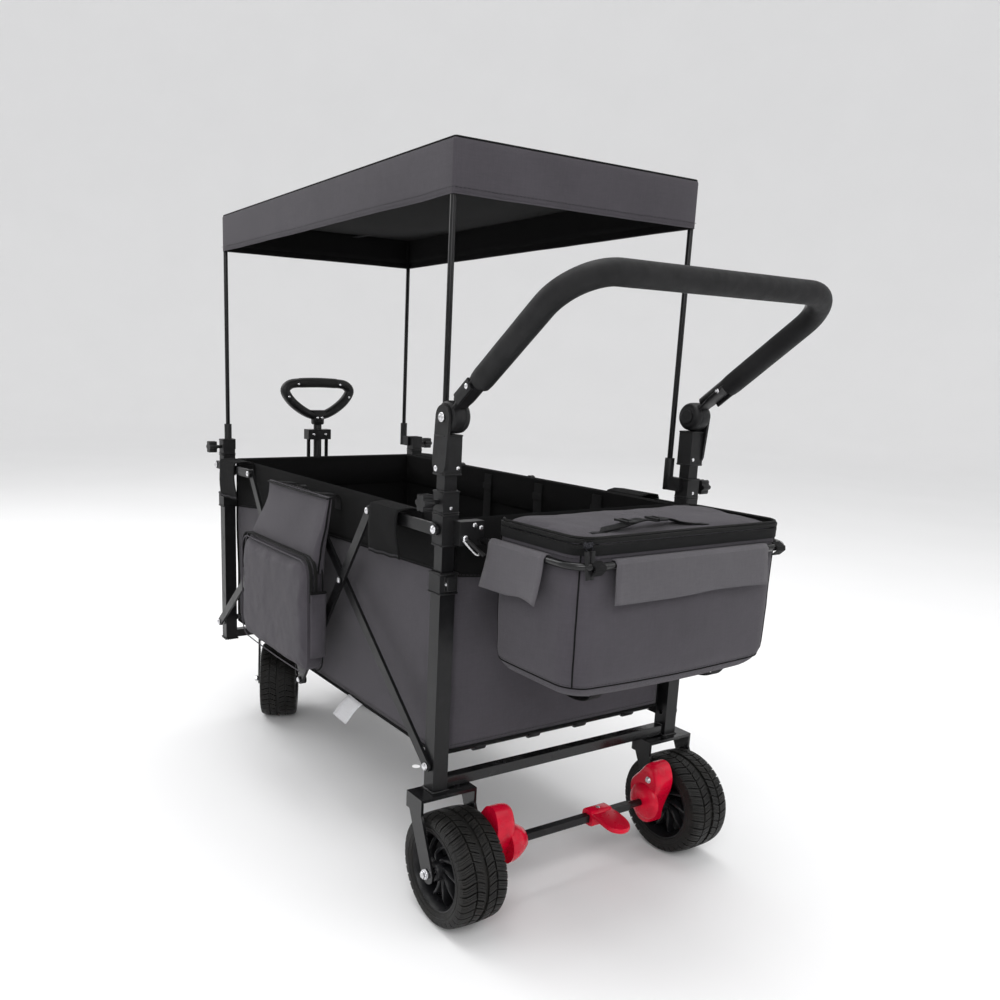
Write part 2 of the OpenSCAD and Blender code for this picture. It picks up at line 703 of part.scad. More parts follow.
// One level of the basket: a rounded rectangle
module basket_slice(z, inset, shrink) {
    r = 30 - inset;
    x0 = basket_x - basket_l + inset + shrink;
    x1 = basket_x - inset;
    y1 = basket_w / 2 - inset - shrink;
    translate([0, 0, z]) linear_extrude(1) for (x = [x0 + r, x1 - r], y = [-y1 + r, y1 - r])
        translate([x, y]) circle(r, $fn = 24);
}
module basket_body() {
    wall = 4;
    low = rim_z - basket_h;
    color("dimgray") difference() {
        hull() {
            basket_slice(rim_z - 1, 0, 0);
            basket_slice(low + 20, 0, 12);
            basket_slice(low, 16, 12);
        }
        hull() {
            basket_slice(rim_z + 1, wall, 0);
            basket_slice(low + 22, wall, 12);
            basket_slice(low + wall, 18, 12);
        }
    }
}
module basket_lid() {
    color("dimgray") {
        r = 30;
        x0 = basket_x - basket_l - 2;
        x1 = basket_x + 2;
        y1 = basket_w / 2 + 2;
        translate([0, 0, rim_z + 0.5]) linear_extrude(lid_t) union() {
            for (x = [x0 + r, x1 - r], y = [-y1 + r, y1 - r]) translate([x, y]) circle(r);
            translate([x0 + r, -y1]) square([x1 - x0 - 2 * r, 2 * y1]);
            translate([x0, -y1 + r]) square([x1 - x0, 2 * y1 - 2 * r]);
        }
        // Rolled edge that the lid turns on
        rod_y(x1 + 1, rim_z + 3, r - y1, y1 - r, 2.5);
    }
}
module basket_flaps() {
    flap_t = 3;
    z0 = rim_z - 90;
    y0 = basket_tube_y + basket_tube_r + 0.5;
    x0 = basket_tube_x - basket_tube_r - 0.5;
    color("dimgray") {
        both_sides() box([basket_x - 165, y0, z0], [basket_x - 10, y0 + flap_t, rim_z - 8]);
        box([x0 - flap_t, -165, z0], [x0, 165, rim_z - 8]);
    }
}

// Side bag: a deep lower pocket under a pocket that leans back to the rim
module side_bag() {
    color("dimgray") {
        y1 = bag_y + bag_t;
        box([bag_x, bag_y, bag_z], [bag_x + bag_l, y1, bag_z + bag_h]);
        top = rail_z + 9;
        translate([bag_x + 12, 0, 0]) rotate([90, 0, 90]) linear_extrude(bag_l - 60)
            polygon([[bag_y, bag_z + bag_h], [y1 - 4, bag_z + bag_h], [bag_y + 8, top], [bag_y, top]]);
    }
}

rear_lower_posts();
rear_upper_posts();
rear_post_collars();
rear_crossbars();
rear_forks();
rear_axles();
rear_rail_brackets();
rear_pole_clamps();
push_handle_brackets();
rear_frame_bolts();
brake_covers();
basket_frame();
basket_body();
basket_flaps();
tub_rear_wall();
tub_side_walls();
side_bag();
rear_knob_left();
rear_knob_right();
rear_tyre_left();
rear_rim_left();
rear_tyre_right();
rear_rim_right();
brake_bar();
brake_pedal();
push_tube();
foam_grip();
push_handle_hubs();
hinge_button_left();
hinge_button_right();
basket_lid();
canopy_roof();
rear_poles();
front_poles();
rear_lower_links();
front_lower_links();
rear_upper_links();
front_upper_links();
rear_rail_arms();
front_rail_arms();
rear_floor_frame();
rear_floor_board();
front_floor_frame();
front_floor_board();
front_posts();
front_brackets();
front_crossbars();
front_frame_bolts();
tub_front_wall();
front_knob_left();
front_knob_right();
caster_fork_left();
front_tyre_left();
front_rim_left();
caster_fork_right();
front_tyre_right();
front_rim_right();
pull_rods();
pull_tube();
pull_grip();
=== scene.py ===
"""The look of a folding cloth wagon with a canopy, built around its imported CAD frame."""
import json
import logging
import math
from collections.abc import Callable, Sequence
from dataclasses import dataclass, field
from enum import Enum

import bmesh
import bpy
from mathutils import Matrix, Vector, noise


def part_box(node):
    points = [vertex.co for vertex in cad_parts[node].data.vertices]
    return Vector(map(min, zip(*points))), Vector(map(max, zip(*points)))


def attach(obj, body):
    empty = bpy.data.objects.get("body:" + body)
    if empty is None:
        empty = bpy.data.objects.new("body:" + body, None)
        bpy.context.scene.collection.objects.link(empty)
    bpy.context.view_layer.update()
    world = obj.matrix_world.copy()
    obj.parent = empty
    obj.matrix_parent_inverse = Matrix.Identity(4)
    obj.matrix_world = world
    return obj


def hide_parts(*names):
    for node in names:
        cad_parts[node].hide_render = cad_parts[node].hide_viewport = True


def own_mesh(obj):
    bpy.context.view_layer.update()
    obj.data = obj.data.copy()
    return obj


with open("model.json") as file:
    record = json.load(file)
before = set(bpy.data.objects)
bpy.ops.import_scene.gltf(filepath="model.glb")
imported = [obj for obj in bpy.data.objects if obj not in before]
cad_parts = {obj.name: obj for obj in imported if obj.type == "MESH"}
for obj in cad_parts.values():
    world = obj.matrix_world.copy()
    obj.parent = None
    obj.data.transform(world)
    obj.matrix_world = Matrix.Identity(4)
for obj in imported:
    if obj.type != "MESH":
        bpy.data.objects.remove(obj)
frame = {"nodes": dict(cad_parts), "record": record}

log = logging.getLogger("wagon")

Ring = list[Vector]
Section = list[tuple[float, float]]
X = Vector((1, 0, 0))
Y = Vector((0, 1, 0))
Z = Vector((0, 0, 1))
SEAM_PITCH = 0.008      # from one sewn stitch to the next
ZIP_PITCH = 0.0026      # from one zip tooth to the next
WALL_SHEET = 0.0016     # thickness of a single layer of cloth, solidified
CASTER_YAW = math.radians(-27.0)  # how far the front forks are swung at rest
ROUND = 96              # faces round a wheel or the ground


# ---------------------------------------------------------------- shapes


def ease(t: float) -> float:
    """Turn a straight run from 0 to 1 into one with soft ends."""
    t = min(max(t, 0.0), 1.0)
    return t * t * (3 - 2 * t)


def bump(t: float, centre: float, width: float) -> float:
    """Give a smooth hill of height 1 about a centre, 0 beyond its width."""
    return ease(1 - abs(t - centre) / width)


def ripple(p: Vector, size: float, seed: float = 0.0) -> float:
    """Give a smooth random height at a point.

    Args:
        p: The point.
        size: The usual distance between two ripples.
        seed: Picks another pattern.

    Returns:
        A height between about -1 and 1, the same at each run.
    """
    return noise.noise(p / size + Vector((seed, -seed, 0.5 * seed)))


def circle(radius: float, sides: int = 12) -> Section:
    """Give a round outline."""
    return [(radius * math.cos(math.tau * i / sides), radius * math.sin(math.tau * i / sides)) for i in range(sides)]


def rounded(width: float, height: float, radius: float, steps: int = 4) -> Section:
    """Give a rectangle with round corners, about the origin.

    Args:
        width: Its size along the first axis.
        height: Its size along the second axis.
        radius: The corners' radius.
        steps: How many edges each corner has.

    Returns:
        The outline's points, anticlockwise.
    """
    points: Section = []
    for k, (sx, sy) in enumerate(((1, 1), (-1, 1), (-1, -1), (1, -1))):
        for i in range(steps + 1):
            a = math.pi / 2 * (k + i / steps)
            points.append((sx * (width / 2 - radius) + radius * math.cos(a),
                           sy * (height / 2 - radius) + radius * math.sin(a)))
    return points


def spline(points: Sequence[Sequence[float]], steps: int = 8, loop: bool = False) -> Ring:
    """Run a smooth curve through some points.

    Args:
        points: The points to pass through.
        steps: How many pieces each stretch between two points has.
        loop: True where the curve closes on itself.

    Returns:
        The curve's points.
    """
    p = [Vector(q) for q in points]
    n = len(p)
    out: Ring = []
    for i in range(n if loop else n - 1):
        a, b, c, d = ((p[(i + k) % n] if loop else p[min(max(i + k, 0), n - 1)]) for k in (-1, 0, 1, 2))
        for s in range(steps):
            t = s / steps
            out.append(0.5 * (2 * b + (c - a) * t + (2 * a - 5 * b + 4 * c - d) * t * t
                              + (3 * b - a - 3 * c + d) * t ** 3))
    return out if loop else out + [p[-1]]


def line(a: Sequence[float], b: Sequence[float], steps: int = 1) -> Ring:
    """Give evenly spaced points from a to b."""
    start, end = Vector(a), Vector(b)
    return [start.lerp(end, i / steps) for i in range(steps + 1)]


def sweep(path: Ring, section: Section | Callable[[float], Section], up: Vector = Z,
          loop: bool = False) -> list[Ring]:
    """Carry an outline along a path.

    Args:
        path: The points of the path.
        section: The outline, or a function that gives it for a share of the way from 0 to 1.
        up: The way that the outline's second axis faces at the start.
        loop: True where the path closes on itself.

    Returns:
        One ring of points for each point of the path.
    """
    n, rings, lift = len(path), [], up.normalized()
    for i, p in enumerate(path):
        ahead = path[(i + 1) % n] if loop or i < n - 1 else p
        behind = path[i - 1] if loop or i else p
        way = (ahead - behind).normalized()
        lift = (lift - way * lift.dot(way)).normalized()
        side = way.cross(lift)
        shape = section(i / max(n - 1, 1)) if callable(section) else section
        rings.append([p + side * a + lift * b for a, b in shape])
    return rings


def hoop(radius: float, y: float, sides: int = ROUND) -> Ring:
    """Give an upright circle about the Y axis."""
    return [Vector((radius * math.cos(math.tau * i / sides), y, radius * math.sin(math.tau * i / sides)))
            for i in range(sides)]


def middle_of(ring: Ring) -> Vector:
    """Give the mean of some points."""
    return sum(ring, Vector()) / len(ring)


def box_ring(x0: float, x1: float, y0: float, y1: float, radius: float, z: float,
             corner: int = 6, side: int = 10) -> Ring:
    """Give the points round a level rectangle with round corners, in the same order for any size.

    Args:
        x0: Its lowest x.
        x1: Its highest x.
        y0: Its lowest y.
        y1: Its highest y.
        radius: The corners' radius.
        z: Its height.
        corner: How many edges each corner has.
        side: How many edges each straight side has.

    Returns:
        The points, anticlockwise from the +X side's start.
    """
    middles = [(x1 - radius, y1 - radius), (x0 + radius, y1 - radius),
               (x0 + radius, y0 + radius), (x1 - radius, y0 + radius)]
    out: Ring = []
    for k, (cx, cy) in enumerate(middles):
        for i in range(corner + 1):
            a = math.pi / 2 * (k + i / corner)
            out.append(Vector((cx + radius * math.cos(a), cy + radius * math.sin(a), z)))
        a = math.pi / 2 * (k + 1)
        nx, ny = middles[(k + 1) % 4]
        end = Vector((nx + radius * math.cos(a), ny + radius * math.sin(a), z))
        start = out[-1]
        out += [start.lerp(end, i / side) for i in range(1, side)]
    return out


class Skin:
    """The points and faces of one piece, gathered before its object is made."""

    def __init__(self) -> None:
        """Start empty."""
        self.points: Ring = []
        self.faces: list[tuple[int, ...]] = []
        self.slots: list[int] = []

    def face(self, corners: Sequence[int], slot: int = 0) -> None:
        """Add one face, by its points' numbers."""
        self.faces.append(tuple(corners))
        self.slots.append(slot)

    def rows(self, rows: Sequence[Ring], wrap: bool = False, close: bool = False, caps: bool = False,
             slot: int = 0) -> "Skin":
        """Join rows of points with quads.

        Args:
            rows: Rows with equal numbers of points.
            wrap: True where each row's end joins its start.
            close: True where the last row joins the first.
            caps: True to fill the first and last rows.
            slot: The finish that these faces take.

        Returns:
            This skin.
        """
        base, n = len(self.points), len(rows[0])
        for row in rows:
            self.points += row
        for i in range(len(rows) if close else len(rows) - 1):
            a, b = base + i * n, base + (i + 1) % len(rows) * n
            for j in range(n if wrap else n - 1):
                k = (j + 1) % n
                self.face((a + j, a + k, b + k, b + j), slot)
        if caps:
            self.face(range(base + n - 1, base - 1, -1), slot)
            self.face(range(base + (len(rows) - 1) * n, base + len(rows) * n), slot)
        return self

    def loft(self, rows: Sequence[Ring], slot: int = 0) -> "Skin":
        """Add a closed shape from closed rows, filled at both ends."""
        return self.rows(rows, wrap=True, caps=True, slot=slot)

    def bar(self, path: Ring, section: Section | Callable[[float], Section], up: Vector = Z, loop: bool = False,
            slot: int = 0) -> "Skin":
        """Add a solid bar of any outline along a path."""
        return self.rows(sweep(path, section, up, loop), wrap=True, close=loop, caps=not loop, slot=slot)

    def tube(self, path: Ring, radius: float, sides: int = 10, loop: bool = False, slot: int = 0) -> "Skin":
        """Add a round bar or piping along a path."""
        return self.bar(path, circle(radius, sides), steady(path), loop, slot)

    def strap(self, path: Ring, width: float, thick: float, up: Vector, loop: bool = False, slot: int = 0) -> "Skin":
        """Add flat webbing along a path, with its face turned towards up."""
        return self.bar(path, rounded(width, thick, min(width, thick) * 0.42, 2), up, loop, slot)

    def block(self, low: Sequence[float], high: Sequence[float], slot: int = 0) -> "Skin":
        """Add a block between two corners, to be bevelled with the rest of the piece."""
        (x0, y0, z0), (x1, y1, z1) = low, high
        rows = [[Vector((x, y, z)) for x, y in ((x0, y0), (x1, y0), (x1, y1), (x0, y1))] for z in (z0, z1)]
        return self.loft(rows, slot)

    def lathe(self, profile: Section, centre: Sequence[float], axis: Vector, sides: int = 32,
              slot: int = 0) -> "Skin":
        """Add a turned shape.

        Args:
            profile: Pairs of a distance along the axis and a radius.
            centre: The point that distance 0 stands for.
            axis: The way that the distance grows.
            sides: How many faces go round.
            slot: The finish that these faces take.

        Returns:
            This skin.
        """
        way = axis.normalized()
        u = (Z if abs(way.z) < 0.9 else X).cross(way).normalized()
        v = way.cross(u)
        return self.loft([[Vector(centre) + way * d
                           + (u * math.cos(math.tau * i / sides) + v * math.sin(math.tau * i / sides)) * r
                           for i in range(sides)] for d, r in profile], slot)

    def stitches(self, path: Ring, out: Vector | Callable[[Vector], Vector], pitch: float = 0.006,
                 slot: int = 0) -> "Skin":
        """Lay a row of raised stitches along a path.

        Args:
            path: The seam.
            out: The way that the cloth faces, or a function that gives it at a point.
            pitch: The distance from one stitch to the next.
            slot: The finish that the thread takes.

        Returns:
            This skin.
        """
        walked, step = 0.0, pitch
        for a, b in zip(path, path[1:]):
            length = (b - a).length
            while walked + length >= step and length > 0:
                p = a.lerp(b, (step - walked) / length)
                face = (out(p) if callable(out) else out).normalized()
                half = (b - a).normalized() * pitch * 0.32
                self.bar([p - half, p + face * 0.0005, p + half], circle(0.00045, 4), face, slot=slot)
                step += pitch
            walked += length
        return self

    def mesh(self, name: str, finishes: Sequence["Finish"], sharp: float, fix: bool = True) -> bpy.types.Mesh:
        """Make the mesh.

        Args:
            name: Its name.
            finishes: The finishes that its faces' slots name, in order.
            sharp: The angle in degrees above which an edge stays crisp.
            fix: True to turn all faces outwards, for closed shapes.

        Returns:
            The new mesh.
        """
        mesh = bpy.data.meshes.new(name)
        mesh.from_pydata([tuple(p) for p in self.points], [], self.faces)
        for finish in finishes:
            mesh.materials.append(finish.material())
        mesh.polygons.foreach_set("material_index", self.slots)
        if fix:
            shape = bmesh.new()
            shape.from_mesh(mesh)
            bmesh.ops.recalc_face_normals(shape, faces=shape.faces)
            shape.to_mesh(mesh)
            shape.free()
        mesh.shade_smooth()
        mesh.set_sharp_from_angle(angle=math.radians(sharp))
        return mesh

    def piece(self, name: str, finishes: Sequence["Finish"], body: str, slot: str, sharp: float = 38.0,
              fix: bool = True, solid: float = 0.0, inner: int = 0) -> bpy.types.Object:
        """Make the object.

        Args:
            name: Its name.
            finishes: The finishes that its faces' slots name, in order.
            body: The CAD body that it rides on.
            slot: Not used.
            sharp: The angle in degrees above which an edge stays crisp.
            fix: True to turn all faces outwards, for closed shapes.
            solid: The thickness to give an open sheet.
            inner: How many slots further the sheet's inner side's finish is.

        Returns:
            The new object, in place and riding.
        """
        mesh = self.mesh(name, finishes, sharp, fix)
        thing = place(name, mesh)
        if solid:
            shell = thing.modifiers.new("thickness", "SOLIDIFY")
            shell.thickness, shell.offset, shell.material_offset = solid, -1.0, inner
            shell.material_offset_rim = inner
        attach(thing, body)
        log.info("%s: %d faces on %s", name, len(mesh.polygons), body)
        return thing


def place(name: str, data: bpy.types.ID) -> bpy.types.Object:
    """Make an object and put it in the scene."""
    thing = bpy.data.objects.new(name, data)
    bpy.context.scene.collection.objects.link(thing)
    return thing


def steady(path: Ring) -> Vector:
    """Pick a way that is square enough to a path's start to carry an outline with."""
    way = (path[1] - path[0]).normalized()
    return X if abs(way.z) > 0.8 else Z


def soften(thing: bpy.types.Object, width: float, angle: float = 40.0) -> None:
    """Round a piece's crisp edges with a bevel."""
    edge = thing.modifiers.new("edges", "BEVEL")
    edge.width, edge.segments, edge.limit_method = width, 2, "ANGLE"
    edge.angle_limit = math.radians(angle)
    edge.harden_normals = True


def freeze(thing: bpy.types.Object) -> None:
    """Turn a piece's modifiers into mesh, so that its points can be moved."""
    bpy.context.view_layer.update()
    seen = thing.evaluated_get(bpy.context.evaluated_depsgraph_get())
    mesh = bpy.data.meshes.new_from_object(seen)
    thing.modifiers.clear()
    thing.data = mesh


def crumple(thing: bpy.types.Object) -> None:
    """Freeze a cloth piece's modifiers into its mesh and give it a mesh of its own."""
    freeze(thing)
    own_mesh(thing)


def puff(thing: bpy.types.Object, voxel: float, cap: float, pressure: float = 4.0) -> None:
    """Swell a closed cloth piece as its filling does, by a short cloth simulation.

    Args:
        thing: The closed piece.
        voxel: The size of the mesh that it is rebuilt with.
        cap: The furthest that any point may move.
        pressure: The filling's pressure.
    """
    freeze(thing)
    remesh = thing.modifiers.new("remesh", "REMESH")
    remesh.mode, remesh.voxel_size = "VOXEL", voxel
    freeze(thing)
    thing.data.shade_smooth()
    rest = [v.co.copy() for v in thing.data.vertices]
    cloth = thing.modifiers.new("cloth", "CLOTH")
    cloth.settings.use_pressure = True
    cloth.settings.uniform_pressure_force = pressure
    cloth.settings.effector_weights.gravity = 0.0
    cloth.settings.quality = 4
    scene = bpy.context.scene
    for number in range(1, 21):
        scene.frame_set(number)
    freeze(thing)
    scene.frame_set(1)
    for v, start in zip(thing.data.vertices, rest):
        move = v.co - start
        if move.length > cap:
            v.co = start + move * (cap / move.length)
    subdivide = thing.modifiers.new("smoothing", "SUBSURF")
    subdivide.levels = subdivide.render_levels = 1
    freeze(thing)
    thing.data.shade_smooth()


# ---------------------------------------------------------------- finishes


class Graph:
    """A material's node tree, with short ways to add and join nodes."""

    def __init__(self, name: str) -> None:
        """Start with a plain shader and the object's own coordinates."""
        self.material = bpy.data.materials.new(name)
        self.material.use_nodes = True
        self.tree = self.material.node_tree
        self.shader = self.tree.nodes["Principled BSDF"]
        self.place = self.add("ShaderNodeTexCoord").outputs["Object"]

    def add(self, kind: str, **values: object) -> bpy.types.Node:
        """Add a node and set its properties."""
        node = self.tree.nodes.new(kind)
        for key, value in values.items():
            setattr(node, key, value)
        return node

    def join(self, node: bpy.types.Node, **inputs: object) -> bpy.types.NodeSocket:
        """Feed a node's inputs, by number as i0, i1 and so on, and give its first output."""
        for key, value in inputs.items():
            socket = node.inputs[int(key[1:])]
            if isinstance(value, bpy.types.NodeSocket):
                self.tree.links.new(value, socket)
            else:
                socket.default_value = value
        return node.outputs[0]

    def set(self, name: str, value: object) -> None:
        """Set or link one of the shader's own inputs."""
        socket = self.shader.inputs[name]
        if isinstance(value, bpy.types.NodeSocket):
            self.tree.links.new(value, socket)
        else:
            socket.default_value = value

    def math(self, what: str, a: object, b: object = 0.0) -> bpy.types.NodeSocket:
        """Do one sum."""
        return self.join(self.add("ShaderNodeMath", operation=what), i0=a, i1=b)

    def noise(self, scale: float, detail: float = 2.0, rough: float = 0.5,
              stretch: tuple[float, float, float] = (1, 1, 1)) -> bpy.types.NodeSocket:
        """Give a soft random pattern, stretched along the axes."""
        place = self.join(self.add("ShaderNodeVectorMath", operation="MULTIPLY"), i0=self.place, i1=stretch)
        node = self.add("ShaderNodeTexNoise")
        self.tree.links.new(place, node.inputs["Vector"])
        node.inputs["Scale"].default_value = scale
        node.inputs["Detail"].default_value = detail
        node.inputs["Roughness"].default_value = rough
        return node.outputs["Fac"]

    def weave(self, pitch: float) -> bpy.types.NodeSocket:
        """Give crossing threads that lie flat on whatever way the cloth faces, from -1 to 1."""
        turns = math.tau / pitch
        waves = self.join(self.add("ShaderNodeVectorMath", operation="MULTIPLY"), i0=self.place,
                          i1=(turns, turns, turns))
        waves = self.join(self.add("ShaderNodeVectorMath", operation="SINE"), i0=waves)
        face = self.add("ShaderNodeTexCoord").outputs["Normal"]
        face = self.join(self.add("ShaderNodeVectorMath", operation="ABSOLUTE"), i0=face)
        flat = self.join(self.add("ShaderNodeVectorMath", operation="SUBTRACT"), i0=(1, 1, 1), i1=face)
        both = self.add("ShaderNodeVectorMath", operation="DOT_PRODUCT")
        self.join(both, i0=waves, i1=flat)
        return both.outputs["Value"]

    def span(self, value: bpy.types.NodeSocket, low: float, high: float, a: float = 0.0, b: float = 1.0
             ) -> bpy.types.NodeSocket:
        """Spread a value from one range onto another, held at its ends."""
        return self.join(self.add("ShaderNodeMapRange"), i0=value, i1=low, i2=high, i3=a, i4=b)

    def blend(self, share: object, a: Sequence[float], b: Sequence[float] | bpy.types.NodeSocket
              ) -> bpy.types.NodeSocket:
        """Mix two colours."""
        node = self.add("ShaderNodeMix", data_type="RGBA")
        for socket, value in ((node.inputs[0], share), (node.inputs[6], a), (node.inputs[7], b)):
            if isinstance(value, bpy.types.NodeSocket):
                self.tree.links.new(value, socket)
            else:
                socket.default_value = value if isinstance(value, float) else (*value[:3], 1.0)
        return node.outputs[2]

    def relief(self, height: bpy.types.NodeSocket, depth: float, strength: float = 1.0,
               under: bpy.types.NodeSocket | None = None) -> bpy.types.NodeSocket:
        """Turn a height into surface relief, over another relief if one is given."""
        node = self.add("ShaderNodeBump")
        node.inputs["Strength"].default_value = strength
        node.inputs["Distance"].default_value = depth
        self.tree.links.new(height, node.inputs["Height"])
        if under is not None:
            self.tree.links.new(under, node.inputs["Normal"])
        return node.outputs[0]


def shade(colour: Sequence[float], share: float) -> tuple[float, float, float]:
    """Make a colour lighter or darker."""
    return tuple(min(c * share, 1.0) for c in colour[:3])


@dataclass(frozen=True)
class Finish:
    """What every finish has: a name and a base colour."""

    name: str
    colour: tuple[float, float, float]

    def material(self) -> bpy.types.Material:
        """Give this finish's material, made at its first use."""
        return bpy.data.materials.get(self.name) or self.build(Graph(self.name))

    def build(self, g: Graph) -> bpy.types.Material:
        """Fill in the material's nodes. Each kind of finish has its own way.

        Args:
            g: The new material's graph.

        Returns:
            The finished material.
        """
        raise NotImplementedError


@dataclass(frozen=True)
class Paint(Finish):
    """Powder coat on steel tube: smooth, with fine orange peel and dull scuffs."""

    rough: float = 0.3
    coat: float = 0.05

    def build(self, g: Graph) -> bpy.types.Material:
        """Fill in the material's nodes."""
        scuffs = g.span(g.noise(34, 6, 0.65), 0.5, 0.78)
        g.set("Base Color", g.blend(scuffs, self.colour, shade(self.colour, 1.9)))
        g.set("Roughness", g.span(scuffs, 0, 1, self.rough, self.rough + 0.22))
        g.set("Specular IOR Level", 0.22)
        g.set("Coat Weight", self.coat)
        g.set("Coat Roughness", 0.2)
        g.set("Normal", g.relief(g.noise(900, 2), 0.00012, 0.5, g.relief(g.noise(55, 3), 0.0004, 0.25)))
        return g.material


@dataclass(frozen=True)
class Plastic(Finish):
    """Moulded plastic with a fine spark-eroded grain and polished high spots."""

    rough: float = 0.48
    grain: float = 0.00012

    def build(self, g: Graph) -> bpy.types.Material:
        """Fill in the material's nodes."""
        wear = g.span(g.noise(26, 5, 0.6), 0.42, 0.75)
        g.set("Base Color", g.blend(wear, self.colour, shade(self.colour, 1.5)))
        g.set("Specular IOR Level", 0.26)
        g.set("Roughness", g.span(wear, 0, 1, self.rough, self.rough - 0.14))
        g.set("Normal", g.relief(g.noise(1500, 2), self.grain, 0.7, g.relief(g.noise(40, 2), 0.0006, 0.2)))
        return g.material


@dataclass(frozen=True)
class Rubber(Finish):
    """Tyre rubber, with patches of dust."""

    dust: float = 0.3

    def build(self, g: Graph) -> bpy.types.Material:
        """Fill in the material's nodes."""
        dust = g.span(g.noise(30, 6, 0.7), 0.45, 0.85, 0.0, self.dust)
        g.set("Base Color", g.blend(dust, self.colour, (0.075, 0.066, 0.056)))
        g.set("Roughness", g.span(dust, 0, self.dust, 0.46, 0.8))
        g.set("Specular IOR Level", 0.22)
        g.set("Normal", g.relief(g.noise(700, 4, 0.7), 0.0003, 0.8, g.relief(g.noise(120, 4), 0.0006, 0.5)))
        return g.material


@dataclass(frozen=True)
class Foam(Finish):
    """Closed-cell foam with a fine pitted skin."""

    def build(self, g: Graph) -> bpy.types.Material:
        """Fill in the material's nodes."""
        cells = g.add("ShaderNodeTexVoronoi")
        cells.inputs["Scale"].default_value = 700
        g.tree.links.new(g.place, cells.inputs["Vector"])
        g.set("Base Color", g.blend(g.span(g.noise(20, 4), 0.35, 0.7), self.colour, shade(self.colour, 1.6)))
        g.set("Roughness", g.span(g.noise(60, 3), 0.3, 0.7, 0.55, 0.7))
        g.set("Specular IOR Level", 0.22)
        g.set("Normal", g.relief(cells.outputs["Distance"], 0.0003, 0.5, g.relief(g.noise(45, 3), 0.001, 0.25)))
        return g.material


@dataclass(frozen=True)
class Steel(Finish):
    """Bright plated steel with fine turning marks."""

    def build(self, g: Graph) -> bpy.types.Material:
        """Fill in the material's nodes."""
        g.set("Metallic", 1.0)
        g.set("Base Color", g.blend(g.span(g.noise(80, 4), 0.4, 0.7), self.colour, shade(self.colour, 0.7)))
        g.set("Roughness", g.span(g.noise(300, 3), 0.3, 0.7, 0.18, 0.36))
        g.set("Normal", g.relief(g.noise(600, 2), 0.0001, 0.5))
        return g.material


@dataclass(frozen=True)
class Cloth(Finish):
    """Plain-woven polyester: crossing threads, slubs, mottling and a soft sheen."""

    pitch: float = 0.0011
    sheen: float = 0.12

    def build(self, g: Graph) -> bpy.types.Material:
        """Fill in the material's nodes."""
        threads = g.weave(self.pitch)
        slubs = g.math("ADD", g.noise(420, 2, 0.5, (1, 1, 0.1)), g.noise(420, 2, 0.5, (0.1, 0.1, 1)))
        mottle = g.math("ADD", g.span(g.noise(6, 4, 0.6), 0.3, 0.75, 0.0, 0.55), g.span(slubs, 0.7, 1.3, 0.0, 0.3))
        mottle = g.math("ADD", mottle, g.span(threads, -1.6, 1.6, -0.12, 0.2))
        g.set("Base Color", g.blend(mottle, shade(self.colour, 0.86), shade(self.colour, 1.2)))
        g.set("Roughness", 0.85)
        g.set("Specular IOR Level", 0.06)
        g.set("Sheen Weight", self.sheen)
        g.set("Sheen Roughness", 0.45)
        folds = g.relief(g.noise(26, 3, 0.55), 0.0022, 0.35)
        g.set("Normal", g.relief(threads, 0.00022, 0.55, g.relief(slubs, 0.0004, 0.35, folds)))
        return g.material


@dataclass(frozen=True)
class Webbing(Finish):
    """Narrow woven tape with close ribs."""

    pitch: float = 0.0016

    def build(self, g: Graph) -> bpy.types.Material:
        """Fill in the material's nodes."""
        ribs = g.weave(self.pitch)
        g.set("Base Color", g.blend(g.span(ribs, -1.5, 1.5), shade(self.colour, 0.6), shade(self.colour, 1.5)))
        g.set("Roughness", 0.68)
        g.set("Specular IOR Level", 0.15)
        g.set("Sheen Weight", 0.02)
        g.set("Normal", g.relief(ribs, 0.0005, 0.8))
        return g.material


@dataclass(frozen=True)
class Ground(Finish):
    """The studio floor: pale, matt and faintly uneven."""

    def build(self, g: Graph) -> bpy.types.Material:
        """Fill in the material's nodes."""
        g.set("Base Color", g.blend(g.span(g.noise(1.5, 3), 0.3, 0.7), self.colour, shade(self.colour, 0.985)))
        g.set("Roughness", 0.7)
        g.set("Specular IOR Level", 0.2)
        return g.material


FRAME_PAINT = Paint("satin_black_powder_coat", (0.006, 0.006, 0.0065))
FORK_PAINT = Paint("gloss_black_powder_coat", (0.0065, 0.0065, 0.007), rough=0.17, coat=0.3)
FITTING = Plastic("black_moulded_plastic", (0.0075, 0.0075, 0.008))
RIM = Plastic("black_rim_plastic", (0.008, 0.008, 0.009), rough=0.36)
RED = Plastic("red_gloss_plastic", (0.5, 0.002, 0.022), rough=0.3, grain=0.00004)
TYRE = Rubber("tyre_rubber", (0.009, 0.0087, 0.0083), dust=0.18)
SOFT_RUBBER = Rubber("grip_rubber", (0.011, 0.011, 0.011), dust=0.05)
FOAM = Foam("black_foam", (0.0085, 0.0085, 0.009))
BRIGHT = Steel("bright_plated_steel", (0.78, 0.78, 0.8))
BLACK_CHROME = Steel("black_plated_steel", (0.035, 0.035, 0.04))
GREY_CLOTH = Cloth("grey_polyester_cloth", (0.066, 0.061, 0.070))
PALE_CLOTH = Cloth("pale_grey_flap_cloth", (0.098, 0.093, 0.102))
BLACK_CLOTH = Cloth("black_polyester_cloth", (0.006, 0.006, 0.0062), sheen=0.01)
BAND_CLOTH = Cloth("black_band_cloth", (0.0075, 0.0075, 0.0078), sheen=0.02)
THREAD = Webbing("dark_thread", (0.03, 0.029, 0.033), pitch=0.0008)
WEBBING = Webbing("black_webbing", (0.006, 0.006, 0.0065))
ZIP = Webbing("black_zip_tape", (0.009, 0.009, 0.009), pitch=0.0022)
